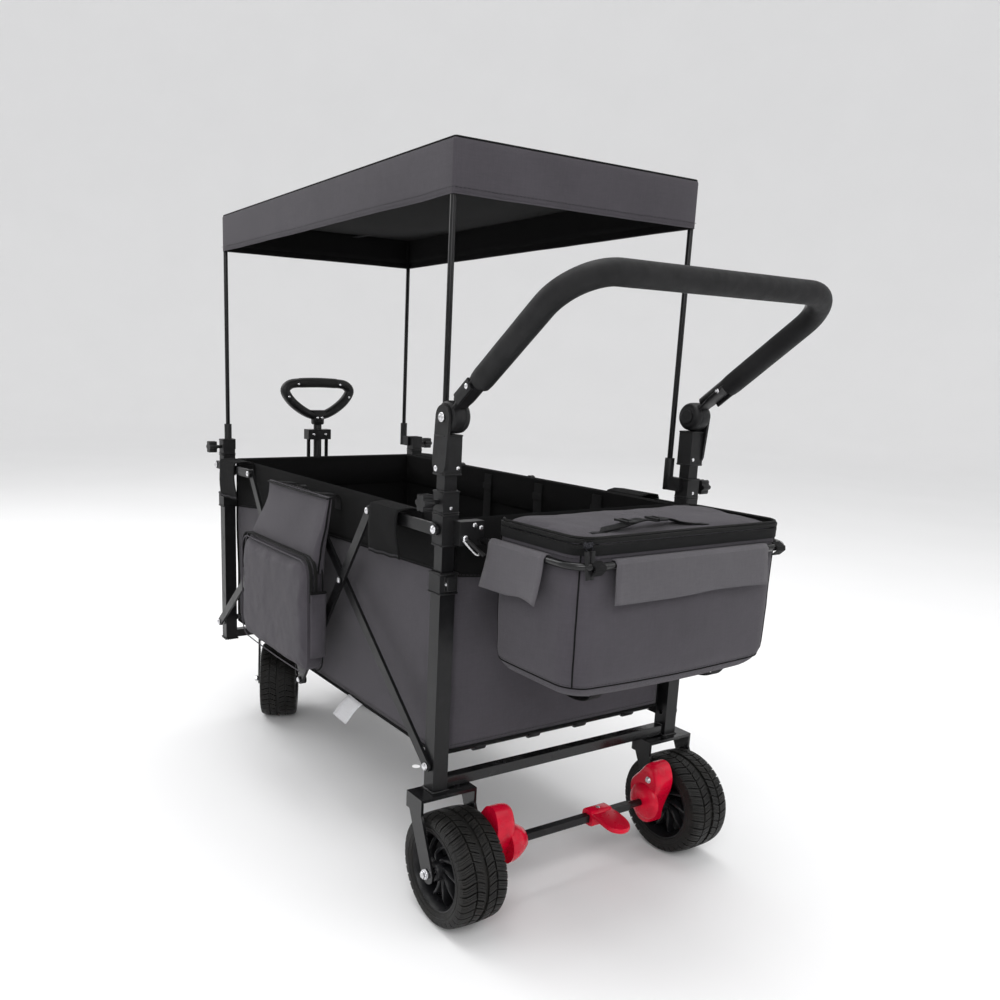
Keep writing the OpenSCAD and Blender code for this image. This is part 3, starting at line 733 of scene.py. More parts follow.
LABEL = Cloth("white_label_satin", (0.62, 0.62, 0.64), pitch=0.0006, sheen=0.3)
GROUND = Ground("studio_ground", (0.9, 0.9, 0.905))


# ---------------------------------------------------------------- soft goods


@dataclass
class Posts:
    """The four posts, as the CAD frame has them, and how far the cloth closes up when the wagon folds."""

    x: float = 0.516
    y: float = 0.282
    rail: float = 0.691
    keep: float = 0.4177

    @classmethod
    def measured(cls) -> "Posts":
        """Take the posts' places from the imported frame."""
        low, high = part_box("rear_lower_posts")
        return cls(x=-(low.x + high.x) / 2, y=high.y - (high.x - low.x) / 2)

    def crumple(self, thing: bpy.types.Object) -> None:
        """Freeze a cloth piece's modifiers into its mesh and give it a mesh of its own."""
        crumple(thing)


@dataclass
class Canopy:
    """The flat roof with its straight valance, black bindings and black lining, on the four poles."""

    posts: Posts
    sag: float = 0.009
    edge: float = 0.007
    hem: float = 0.012
    corner: float = 0.005
    pole_ahead: float = 0.036
    body: str = "canopy"

    def __post_init__(self) -> None:
        """Take the roof's box from the CAD node, and how far it closes up so that its front edge clears the poles."""
        self.low, self.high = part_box("canopy_roof")
        span = 2 * self.posts.x
        ahead = self.high.x - self.posts.x - self.pole_ahead
        self.keep = (self.posts.keep * span + ahead) / (span + ahead)
        self.anchor = -self.posts.x + self.pole_ahead
        self.width, self.length = self.high.y - self.low.y, self.high.x - self.low.x

    def ring(self, inset: float, z: float, wave: float = 0.0) -> Ring:
        """Give the roof's outline at one height.

        Args:
            inset: How far it lies inside the CAD box.
            z: Its height.
            wave: How much the cloth ripples out of the plane of each side.

        Returns:
            The outline's points.
        """
        lo, hi = self.low, self.high
        points = box_ring(lo.x + inset, hi.x - inset, lo.y + inset, hi.y - inset, self.corner, z, 5, 40)
        middle = (lo.x + hi.x) / 2
        out = []
        for p in points:
            if abs(p.y) > hi.y - inset - 0.012:
                face = Y * math.copysign(1, p.y)
                free = min(abs(p.x - lo.x), abs(hi.x - p.x))
            else:
                face = X * math.copysign(1, p.x - middle)
                free = min(abs(p.y - lo.y), abs(hi.y - p.y))
            depth = wave * ease(free / 0.12) * (0.5 * ripple(p, 0.16, 3.0) + 0.3 * ripple(p, 0.07, 5.0) - 0.55)
            out.append(p + face * depth)
        return out

    def top(self, inset: float, sag: float, drop: float) -> list[Ring]:
        """Give the roof's rows from near its middle to its edge.

        Args:
            inset: How far the edge lies inside the CAD box.
            sag: How far the middle hangs.
            drop: How far the whole sheet lies below the CAD box's top.

        Returns:
            The rows, each an outline smaller than the next.
        """
        edge = self.ring(inset, self.high.z - drop)
        middle = middle_of(edge)
        rows = []
        for k in range(1, 15):
            share = (k / 14) ** 0.8
            row = []
            for p in edge:
                q = middle.lerp(p, share)
                u, v = (q.x - middle.x) / (edge[0].x - middle.x), q.y / max(e.y for e in edge)
                hang = sag * (1 - u * u) * (1 - v * v) + 0.0015 * ripple(q, 0.13, 9.0) * (1 - share ** 4)
                row.append(q - Z * hang)
            rows.append(row)
        return rows

    def build_roof(self) -> bpy.types.Object:
        """Make the grey outer sheet: the roof and the valance in one, with its lining on the inner side."""
        rows = self.top(self.edge, self.sag, 0.0)
        for k in range(1, 4):
            a = math.pi / 2 * k / 3
            rows.append(self.ring(self.edge * (1 - math.sin(a)), self.high.z - self.edge * (1 - math.cos(a))))
        reach = self.high.z - self.edge - self.low.z
        rows += [self.ring(0.0, self.high.z - self.edge - reach * k / 9, 0.006 * k / 9) for k in range(1, 10)]
        skin = Skin().rows(rows, wrap=True)
        skin.face(range(len(rows[0])))
        thing = skin.piece("canopy_sheet", (GREY_CLOTH, BLACK_CLOTH), self.body, "grey_cloth", sharp=60,
                           solid=WALL_SHEET, inner=1)
        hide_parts("canopy_roof")
        crumple(thing)
        return thing

    def build_lining(self) -> bpy.types.Object:
        """Make the black lining, which hangs a little below the roof."""
        rows = self.top(0.006, 0.03, 0.012)
        rows += [self.ring(0.005, self.high.z - 0.016 - 0.056 * k / 5, 0.003) for k in range(6)]
        skin = Skin().rows(rows, wrap=True)
        skin.face(range(len(rows[0])))
        thing = skin.piece("canopy_lining", (BLACK_CLOTH,), self.body, "black_cloth", sharp=60, solid=0.001)
        crumple(thing)
        return thing

    def build_trim(self) -> bpy.types.Object:
        """Make the binding round the roof, the hem with its stitches, and the pockets that take the poles."""
        lo, hi = self.low, self.high
        skin = Skin()
        skin.tube(self.ring(0.003, hi.z - 0.0025), 0.0026, 8, loop=True)
        skin.tube(self.ring(0.0006, lo.z + 0.0012, 0.006), 0.0012, 6, loop=True, slot=1)
        middle = Vector(((lo.x + hi.x) / 2, 0, 0))

        def out(p: Vector) -> Vector:
            """Face away from the roof's middle on whichever side a point lies."""
            flat = p - middle
            return Y * flat.y if abs(flat.y) > hi.y - 0.02 else X * flat.x

        hem = self.ring(-0.0006, lo.z + self.hem / 2, 0.006)
        skin.stitches([p + out(p).normalized() * 0.0012 + Z * 0.004 for p in hem], out, SEAM_PITCH, slot=2)
        for x in (self.anchor, self.posts.x + self.pole_ahead):
            for s in (-1, 1):
                spot = Vector((x - math.copysign(0.0015, x), s * (self.posts.y - 0.0175), 0))
                rows = [[spot + Vector((a * w, b * w, z)) for a, b in circle(0.0048, 12)]
                        for z, w in ((lo.z + 0.004, 1.05), (lo.z + 0.03, 1.0), (hi.z - 0.022, 1.1),
                                     (hi.z - 0.012, 0.6))]
                skin.rows(rows, wrap=True, slot=3)
        for k in (1, 2):
            y = lo.y + (hi.y - lo.y) * k / 3
            tape = [Vector((lo.x + 0.02 + (hi.x - lo.x - 0.04) * i / 20, y,
                            hi.z - 0.02 - 0.006 * math.sin(math.pi * i / 20))) for i in range(21)]
            skin.strap(tape, 0.018, 0.002, Z, slot=4)
        thing = skin.piece("canopy_trim", (BAND_CLOTH, GREY_CLOTH, THREAD, BLACK_CLOTH, WEBBING), self.body,
                           "black_cloth", sharp=50)
        crumple(thing)
        return thing

    def build(self) -> None:
        """Make the whole canopy."""
        self.build_roof()
        self.build_lining()
        self.build_trim()


@dataclass
class Tub:
    """The cloth tub: grey outside, black inside, with a deep black band along its rim."""

    posts: Posts
    foot: float = 0.272
    rear_foot: float = 0.289
    rim: float = 0.703
    band: float = 0.100
    thick: float = 0.003
    face: float = 0.2575
    end: float = 0.5105
    webbing: float = 0.03
    across: int = 72
    end_across: int = 44
    up: int = 26
    hidden: float = 0.09

    def panel(self, side: int, u: float, v: float) -> Vector:
        """Give a point on a side panel's outer face.

        Args:
            side: 1 for the left, -1 for the right.
            u: The share of the way from the rear to the front.
            v: The share of the way from the foot to the rim.

        Returns:
            The point.
        """
        x, z = -self.end + 2 * self.end * u, self.foot + (self.rim - self.foot) * v
        here = Vector((x, 0, z))
        slack = math.sin(math.pi * u) * math.sin(math.pi * min(v * 1.15, 1.0))
        folds = 0.0018 * ripple(Vector((x, 0, z * 0.35)), 0.11, 2.0 + side) + 0.0012 * ripple(here, 0.05, 7.0 + side)
        pull = 0.0016 * math.sin(u * 40 + v * 9) * (bump(u, 0, 0.12) + bump(u, 1, 0.12)) * math.sin(math.pi * v)
        return Vector((x, side * (self.face + 0.0035 * slack + folds * slack + pull), z))

    def panel_row(self, side: int, v: float) -> Ring:
        """Give a level row of points on a side panel, from the rear to the front."""
        return [self.panel(side, i / self.across, v) for i in range(self.across + 1)]

    def end_panel(self, way: int, u: float, v: float) -> Vector:
        """Give a point on an end panel's outer face. way is 1 for the front, -1 for the rear."""
        foot = self.foot if way > 0 else self.rear_foot
        y, z = -self.face + 0.002 + 2 * (self.face - 0.002) * u, foot + (self.rim - foot) * v
        slack = math.sin(math.pi * u) * math.sin(math.pi * v)
        here = Vector((0, y, z))
        folds = 0.002 * ripple(here, 0.09, 4.0 + way) + 0.0015 * ripple(here, 0.04, 11.0 + way)
        return Vector((way * (self.end + (0.003 + folds) * slack), y, z))

    def end_row(self, way: int, v: float) -> Ring:
        """Give a level row of points on an end panel, from the right to the left."""
        return [self.end_panel(way, i / self.end_across, v) for i in range(self.end_across + 1)]

    def lower_edge(self, u: float) -> float:
        """Give the height of the black band's lower edge along a side."""
        ends = 0.006 * bump(u, 0.0, 0.2) - 0.018 * bump(u, 1.0, 0.25)
        return self.rim - self.band - 0.004 + ends + 0.003 * math.sin(9 * u)

    def build_side(self, side: int, name: str) -> None:
        """Make one side: its panel, band, bindings, webbing and stitches."""
        rows = [self.panel_row(side, k / self.up) for k in range(self.up + 1)]
        panel = Skin().rows(rows[::-side]).piece(f"tub_panel_{name}", (GREY_CLOTH, BLACK_CLOTH), "rear_frame",
                                                "grey_cloth", fix=False, solid=self.thick, inner=1)
        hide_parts("tub_side_walls")
        self.posts.crumple(panel)

        rows = []
        for i in range(self.across + 1):
            u = i / self.across
            low = self.lower_edge(u)
            row = []
            for k in range(9):
                z = low + (self.rim - low) * k / 8
                p = self.panel(side, u, (z - self.foot) / (self.rim - self.foot))
                row.append(p + Y * side * (0.0015 + 0.0012 * math.sin(math.pi * k / 8)))
            top = self.rim + 0.003
            inner = self.face - self.thick - 0.0035
            x = row[0].x
            row += [Vector((x, side * (self.face - 0.0005), top)), Vector((x, side * inner, self.rim))]
            row += [Vector((x, side * (inner - 0.0008 * ripple(Vector((x, 0, z)), 0.06, side)), z))
                    for z in (self.rim - 0.03, self.rim - 0.075)]
            rows.append(row)
        skin = Skin().rows(rows[::side])
        seam = [r[0] + Y * side * 0.0005 + Z * 0.004 for r in rows]
        band = skin.piece(f"tub_band_{name}", (BAND_CLOTH,), "rear_frame", "black_cloth", fix=False, solid=0.0014)
        self.posts.crumple(band)

        trim = Skin()
        trim.tube([p + Y * side * 0.001 for p in self.panel_row(side, 0.0)], 0.0028, 8)
        for u in (0.004, 0.996):
            trim.tube([self.panel(side, u, k / self.up) + Y * side * 0.002 for k in range(self.up + 1)], 0.0026, 8)
        trim.stitches(seam, Y * side, SEAM_PITCH, slot=1)
        trim.stitches([p + Y * side * 0.0006 for p in self.panel_row(side, 0.022)], Y * side, SEAM_PITCH, slot=1)
        for x in (-0.3, -0.1, 0.1, 0.3):
            path = [Vector((x, side * (self.face - self.thick - 0.006 - 0.001 * math.sin(math.pi * k / 10)),
                            0.31 + 0.385 * k / 10)) for k in range(11)]
            trim.strap(path, self.webbing, 0.0022, Y * side, slot=2)
            y = side * (self.face - self.thick - 0.009)
            for z in (0.345, 0.665):
                trim.strap(line((x - 0.017, y, z), (x + 0.017, y, z), 3), 0.016, 0.002, Y * side, slot=2)
        thing = trim.piece(f"tub_trim_{name}", (BAND_CLOTH, THREAD, WEBBING), "rear_frame", "black_cloth")
        self.posts.crumple(thing)

    def build_end(self, way: int, name: str, body: str) -> None:
        """Make one end wall with its band, bindings and stitches. way is 1 for the front, -1 for the rear."""
        rows = [self.end_row(way, k / self.up) for k in range(self.up + 1)]
        panel = Skin().rows(rows[::way]).piece(f"tub_{name}_panel", (GREY_CLOTH, BLACK_CLOTH), body, "grey_cloth",
                                                fix=False, solid=self.thick, inner=1)
        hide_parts(f"tub_{name}_wall")
        rows = []
        foot = self.foot if way > 0 else self.rear_foot
        for i in range(self.end_across + 1):
            row = []
            low = self.rim - self.band + 0.004 * math.sin(i * 0.3)
            for k in range(9):
                z = low + (self.rim - low) * k / 8
                p = self.end_panel(way, i / self.end_across, (z - foot) / (self.rim - foot))
                row.append(p + X * way * (0.0015 + 0.001 * math.sin(math.pi * k / 8)))
            y = row[0].y
            inner = way * (self.end - self.thick - 0.0035)
            row.append(Vector((way * (self.end - 0.0005), y, self.rim + 0.003)))
            row += [Vector((inner, y, z)) for z in (self.rim, self.rim - 0.03, self.rim - 0.075)]
            rows.append(row)
        band = Skin().rows(rows[::-way]).piece(f"tub_band_{name}", (BAND_CLOTH,), body, "black_cloth", fix=False,
                                              solid=0.0014)
        trim = Skin()
        trim.tube([p + X * way * 0.001 for p in self.end_row(way, 0.0)], 0.0028, 8)
        trim.stitches([r[0] + X * way * 0.0012 + Z * 0.004 for r in rows], X * way, SEAM_PITCH, slot=1)
        trim.stitches([p + X * way * 0.0006 for p in self.end_row(way, 0.022)], X * way, SEAM_PITCH, slot=1)
        trim.piece(f"tub_{name}_trim", (BAND_CLOTH, THREAD), body, "black_cloth")

    def build_sleeve(self, x0: float, x1: float, side: int, drop: float, body: str, name: str) -> None:
        """Make a cloth tab that wraps a rail arm and hangs over the band.

        Args:
            x0: Its rear edge.
            x1: Its front edge.
            side: 1 for the left, -1 for the right.
            drop: How far it hangs below the arm.
            body: The body that it rides on.
            name: Its name.
        """
        rows = []
        y_out, y_in, top = 0.3155, self.face + 0.004, self.posts.rail + 0.0165
        for i in range(13):
            x = x0 + (x1 - x0) * i / 12
            flap = top - drop - 0.004 * i / 12 + 0.0008 * math.sin(i * 1.3)
            row = [Vector((x, side * y_in, self.rim - 0.035)), Vector((x, side * y_in, self.rim)),
                   Vector((x, side * (y_in + 0.004), top)), Vector((x, side * 0.285, top + 0.0035)),
                   Vector((x, side * (y_out - 0.004), top + 0.001)), Vector((x, side * y_out, top - 0.008))]
            for k in range(1, 7):
                y = y_out + 0.0012 * math.sin(k * 0.7 + i * 0.4) - 0.004 * ease((k - 2) / 4)
                row.append(Vector((x + 0.004 * (k / 6) * (i / 6 - 1), side * y,
                                   top - 0.008 + (flap - top + 0.008) * k / 6)))
            rows.append(row)
        skin = Skin().rows(rows[::-side])
        skin.stitches([r[-1] + Z * 0.005 + Y * side * 0.0003 for r in rows], Y * side, 0.007, slot=1)
        thing = skin.piece(name, (BAND_CLOTH, THREAD), body, "black_cloth", fix=False, solid=WALL_SHEET)

    def build_label(self) -> None:
        """Make the blank care label that hangs from the left side's foot."""
        rows = []
        for k in range(9):
            t = k / 8
            drop = Vector((0.014 * t, 0.0035 + 0.034 * t + 0.003 * math.sin(5 * t), -0.042 * t))
            rows.append([Vector((x, self.face + 0.002, self.foot + 0.004)) + drop + Z * 0.002 * math.sin(40 * x)
                         for x in (-0.205, -0.19, -0.175, -0.16, -0.145)])
        skin = Skin().rows(rows)
        thing = skin.piece("care_label", (LABEL,), "rear_frame", "grey_cloth", fix=False, solid=0.0005)
        self.posts.crumple(thing)

    def build_mat(self, name: str) -> None:
        """Make one half of the padded floor mat, on the floor frame of the same name."""
        low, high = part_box(f"{name}_board")
        x0, x1 = low.x + 0.004, high.x - 0.004
        rows = [box_ring(x0 + d, x1 - d, low.y + 0.004 + d, high.y - 0.004 - d, 0.02, z, 4, 12)
                for d, z in ((0.006, low.z), (0.0, low.z + 0.005), (0.0, low.z + 0.009), (0.006, low.z + 0.014))]
        thing = Skin().loft(rows).piece(f"{name}_mat", (BLACK_CLOTH,), name, "black_cloth")
        puff(thing, 0.006, 0.006)
        for v in thing.data.vertices:
            for x in (x0 + (x1 - x0) / 3, x0 + (x1 - x0) * 2 / 3):
                v.co.z -= 0.0055 * bump(v.co.x, x, 0.014) * (v.co.z > low.z + 0.008)
            v.co.z = max(v.co.z, low.z - 0.0005)
        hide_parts(f"{name}_board")

    def build_middle(self) -> None:
        """Make the loose middle of the floor mat, between the two halves."""
        low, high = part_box("rear_floor_board")
        gap = -high.x - 0.006
        rows = []
        for i in range(13):
            x = -gap + 2 * gap * i / 12
            crown = 0.013 + 0.002 * math.sin(math.pi * i / 12)
            y0, y1 = low.y + 0.006, high.y - 0.006
            top = [(y0 + (high.y - low.y - 0.012) * k / 20, low.z + crown) for k in range(21)]
            rows.append([Vector((x, y, z)) for y, z in [(y0, low.z + 0.002)] + top + [(y1, low.z + 0.002)]])
        thing = Skin().loft(rows).piece("floor_mat_middle", (BLACK_CLOTH,), "rear_floor",
                                                              "black_cloth")
        freeze(thing)
        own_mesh(thing)

    def build(self) -> None:
        """Make the whole tub."""
        for side, name in ((1, "left"), (-1, "right")):
            self.build_side(side, name)
            self.build_sleeve(-0.414, -0.312, side, 0.086, "rear_rail_arms", f"rear_arm_sleeve_{name}")
            self.build_sleeve(0.378, 0.482, side, 0.09, "front_rail_arms", f"front_arm_sleeve_{name}")
        self.build_end(-1, "rear", "rear_frame")
        self.build_end(1, "front", "front_frame")
        self.build_label()
        self.build_mat("rear_floor")
        self.build_mat("front_floor")
        self.build_middle()


@dataclass
class SideBag:
    """The bag on the left side: a deep lower pocket with a zip, under a pocket that leans back to the rim."""

    posts: Posts
    body: str = "rear_frame"

    def __post_init__(self) -> None:
        """Take the bag's box from the CAD node that it stands for."""
        self.low, self.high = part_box("side_bag")
        self.split = self.low.z + 0.245

    def outline(self, x0: float, x1: float, z0: float, z1: float, radius: float, y: float) -> Ring:
        """Give a rounded outline that stands upright at one y."""
        return [Vector((p.x, y, p.y)) for p in box_ring(x0, x1, z0, z1, radius, 0.0, 6, 10)]

    def lower_ring(self, inset: float, y: float) -> Ring:
        """Give the lower pocket's outline, which hangs a little fuller at its foot."""
        lo, hi = self.low, self.high
        out = []
        for p in self.outline(lo.x + 0.004 + inset, hi.x - 0.004 - inset, lo.z + 0.003 + inset, self.split - inset,
                              0.034, y):
            t = (self.split - p.z) / (self.split - lo.z)
            u = (p.x - lo.x) / (hi.x - lo.x)
            out.append(Vector((p.x + 0.01 * (0.5 - u) * (1 - t), p.y, p.z - 0.004 * math.sin(math.pi * u) * t)))
        return out

    def build_lower(self) -> None:
        """Make the lower pocket, filled out as by its contents."""
        back, front = self.low.y + 0.004, self.high.y - 0.004
        rows = [self.lower_ring(d, y) for d, y in ((0.012, back), (0.004, back + 0.004), (0.003, (back + front) / 2),
                                                   (0.004, front - 0.006), (0.012, front - 0.001))]
        thing = Skin().loft(rows).piece("side_bag_pocket", (GREY_CLOTH,), self.body, "grey_cloth")
        puff(thing, 0.006, 0.007, 3.0)
        for v in thing.data.vertices:
            v.co.y += (0.0016 * ripple(v.co, 0.05, 1.0) + 0.0008 * ripple(v.co, 0.02, 2.0)) * (v.co.y > back + 0.02)
            v.co.y = max(v.co.y, self.low.y)
        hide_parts("side_bag")
        self.posts.crumple(thing)

    def build_upper(self) -> None:
        """Make the upper pocket, a flat envelope that leans back to the rim."""
        lo, hi = self.low, self.high
        rows = []
        for k in range(13):
            t = k / 12
            z = self.split - 0.03 + (hi.z - self.split + 0.028) * t
            depth = 0.020 * (1 - ease(t)) + 0.009
            x0 = lo.x + 0.014 - 0.028 * ease(t * 0.9)
            x1 = hi.x - 0.018 - 0.075 * ease(t * 1.1)
            row = []
            for a, b in rounded(x1 - x0, depth, min(0.012, depth * 0.45), 4):
                x = (x0 + x1) / 2 + a
                swell = 0.005 * math.sin(math.pi * t) * math.cos(math.pi * a / (x1 - x0)) * (b > 0)
                wrinkle = 0.0022 * ripple(Vector((x, b, z)), 0.045, 6.0) * (b > 0) * math.sin(math.pi * t)
                row.append(Vector((x, lo.y + 0.001 + depth / 2 + b + swell + wrinkle, z)))
            rows.append(row)
        fine = []
        for row in rows:
            dense: Ring = []
            for a, b in zip(row, row[1:] + row[:1]):
                dense += line(a, b, 8)[:-1] if (b - a).length > 0.05 else [a]
            fine.append(dense)
        for row in fine:
            for p in row:
                if p.y > lo.y + 0.006:
                    p.y += 0.002 * ripple(p, 0.06, 4.0)
        thing = Skin().loft(fine).piece("side_bag_envelope", (GREY_CLOTH,), self.body,
                                                              "grey_cloth", sharp=50)
        self.posts.crumple(thing)
        self.envelope = fine

    def build_trim(self) -> None:
        """Make the zips, pullers, pipings, the small side pocket and the tapes that hang the bag."""
        lo, hi = self.low, self.high
        skin = Skin()
        front = hi.y - 0.004
        seam = self.lower_ring(0.004, front - 0.001)
        skin.tube(seam, 0.0013, 8, loop=True, slot=4)
        skin.tube(self.lower_ring(0.003, lo.y + 0.01), 0.0016, 8, loop=True)
        zone = [p - Y * 0.012 for p in self.lower_ring(-0.0035, front)]
        mouth = Vector((hi.x, 0, self.split - 0.08))
        start = min(range(len(zone)), key=lambda i: (zone[i] - mouth).length)
        run = zone[start:] + zone[:start]
        stop = next(i for i, p in enumerate(run) if i > 5 and p.x < lo.x + 0.02 and p.z < self.split - 0.085)
        run = run[:stop]
        middle = Vector(((lo.x + hi.x) / 2, 0, (self.split + lo.z) / 2))

        def out(p: Vector) -> Vector:
            """Face away from the pocket's middle."""
            away = p - middle
            return Z if p.z > self.split - 0.03 and abs(away.x) < 0.15 else X * away.x

        # Partly painted shade: the zip's black tapes are real, but along the pocket's top their dark colour also
        # stands in for the shade on the ledge above the front panel's edge.
        for shift in (-0.0052, 0.0052):
            skin.bar([p + Y * shift for p in run], rounded(0.0075, 0.0024, 0.001, 2), slot=1)
        skin.stitches(run, out, ZIP_PITCH, slot=2)
        skin.stitches([p - Y * 0.0105 for p in run], out, 0.006, slot=3)
        pull = run[-1]
        skin.block(pull + Vector((-0.003, -0.003, -0.008)), pull + Vector((0.003, 0.003, 0.006)), slot=2)
        skin.strap(line(pull - Z * 0.006, pull - Z * 0.04 - X * 0.002, 4), 0.006, 0.002, Y, slot=1)
        top = self.envelope[-1]
        face = sorted((p for p in top if p.y > lo.y + 0.006), key=lambda p: p.x)
        ridge = [Vector((p.x, p.y + 0.0012, hi.z - 0.005)) for p in (face[0], face[len(face) // 2], face[-1])]
        ridge = spline([tuple(p) for p in ridge], 12)
        skin.bar(ridge, rounded(0.011, 0.0026, 0.001, 2), slot=1)
        skin.stitches([p + Z * 0.0016 for p in ridge], Z, ZIP_PITCH, slot=2)
        skin.tube([p + Z * 0.002 - Y * 0.006 for p in ridge], 0.0022, 8)
        for row_end in (0, -1):
            edge = []
            for row in self.envelope:
                outer = sorted((p for p in row if p.y > lo.y + 0.004), key=lambda p: p.x)
                edge.append(outer[row_end] + Y * 0.0005)
            skin.tube(edge, 0.002, 8)
        trim = skin.piece("side_bag_trim_parts", (BAND_CLOTH, ZIP, BLACK_CHROME, THREAD, GREY_CLOTH), self.body,
                          "black_cloth")
        self.posts.crumple(trim)

        rows = []
        x = lo.x + 0.003
        for k in range(9):
            t = k / 8
            z = lo.z + 0.045 + 0.135 * t
            puffed = 0.006 * math.sin(math.pi * min(t * 1.25 + 0.08, 1.0))
            rows.append([Vector((x - 0.0018 - puffed * math.sin(math.pi * j / 8), lo.y + 0.007 + 0.034 * j / 8, z))
                         for j in range(9)])
        pocket = Skin().rows(rows)
        pocket.tube([p - X * 0.0006 for p in rows[-1]], 0.0016, 6, slot=1)
        thing = pocket.piece("side_bag_small_pocket", (GREY_CLOTH, BAND_CLOTH), self.body, "grey_cloth", solid=0.0012,
                             fix=False)
        self.posts.crumple(thing)
        tapes = Skin()
        for x in (lo.x + 0.07, hi.x - 0.12):
            hang = ((lo.y + 0.004, 0.016), (lo.y - 0.002, 0.005), (lo.y - 0.018, 0.006), (0.2675, 0.012),
                    (0.2635, 0.04))
            tapes.strap(spline([(x, y, hi.z - drop) for y, drop in hang], 6), 0.028, 0.0016, Y)
        thing = tapes.piece("side_bag_tapes", (WEBBING,), self.body, "black_cloth")
        self.posts.crumple(thing)

    def build(self) -> None:
        """Make the whole bag."""
        self.build_lower()
        self.build_upper()
        self.build_trim()


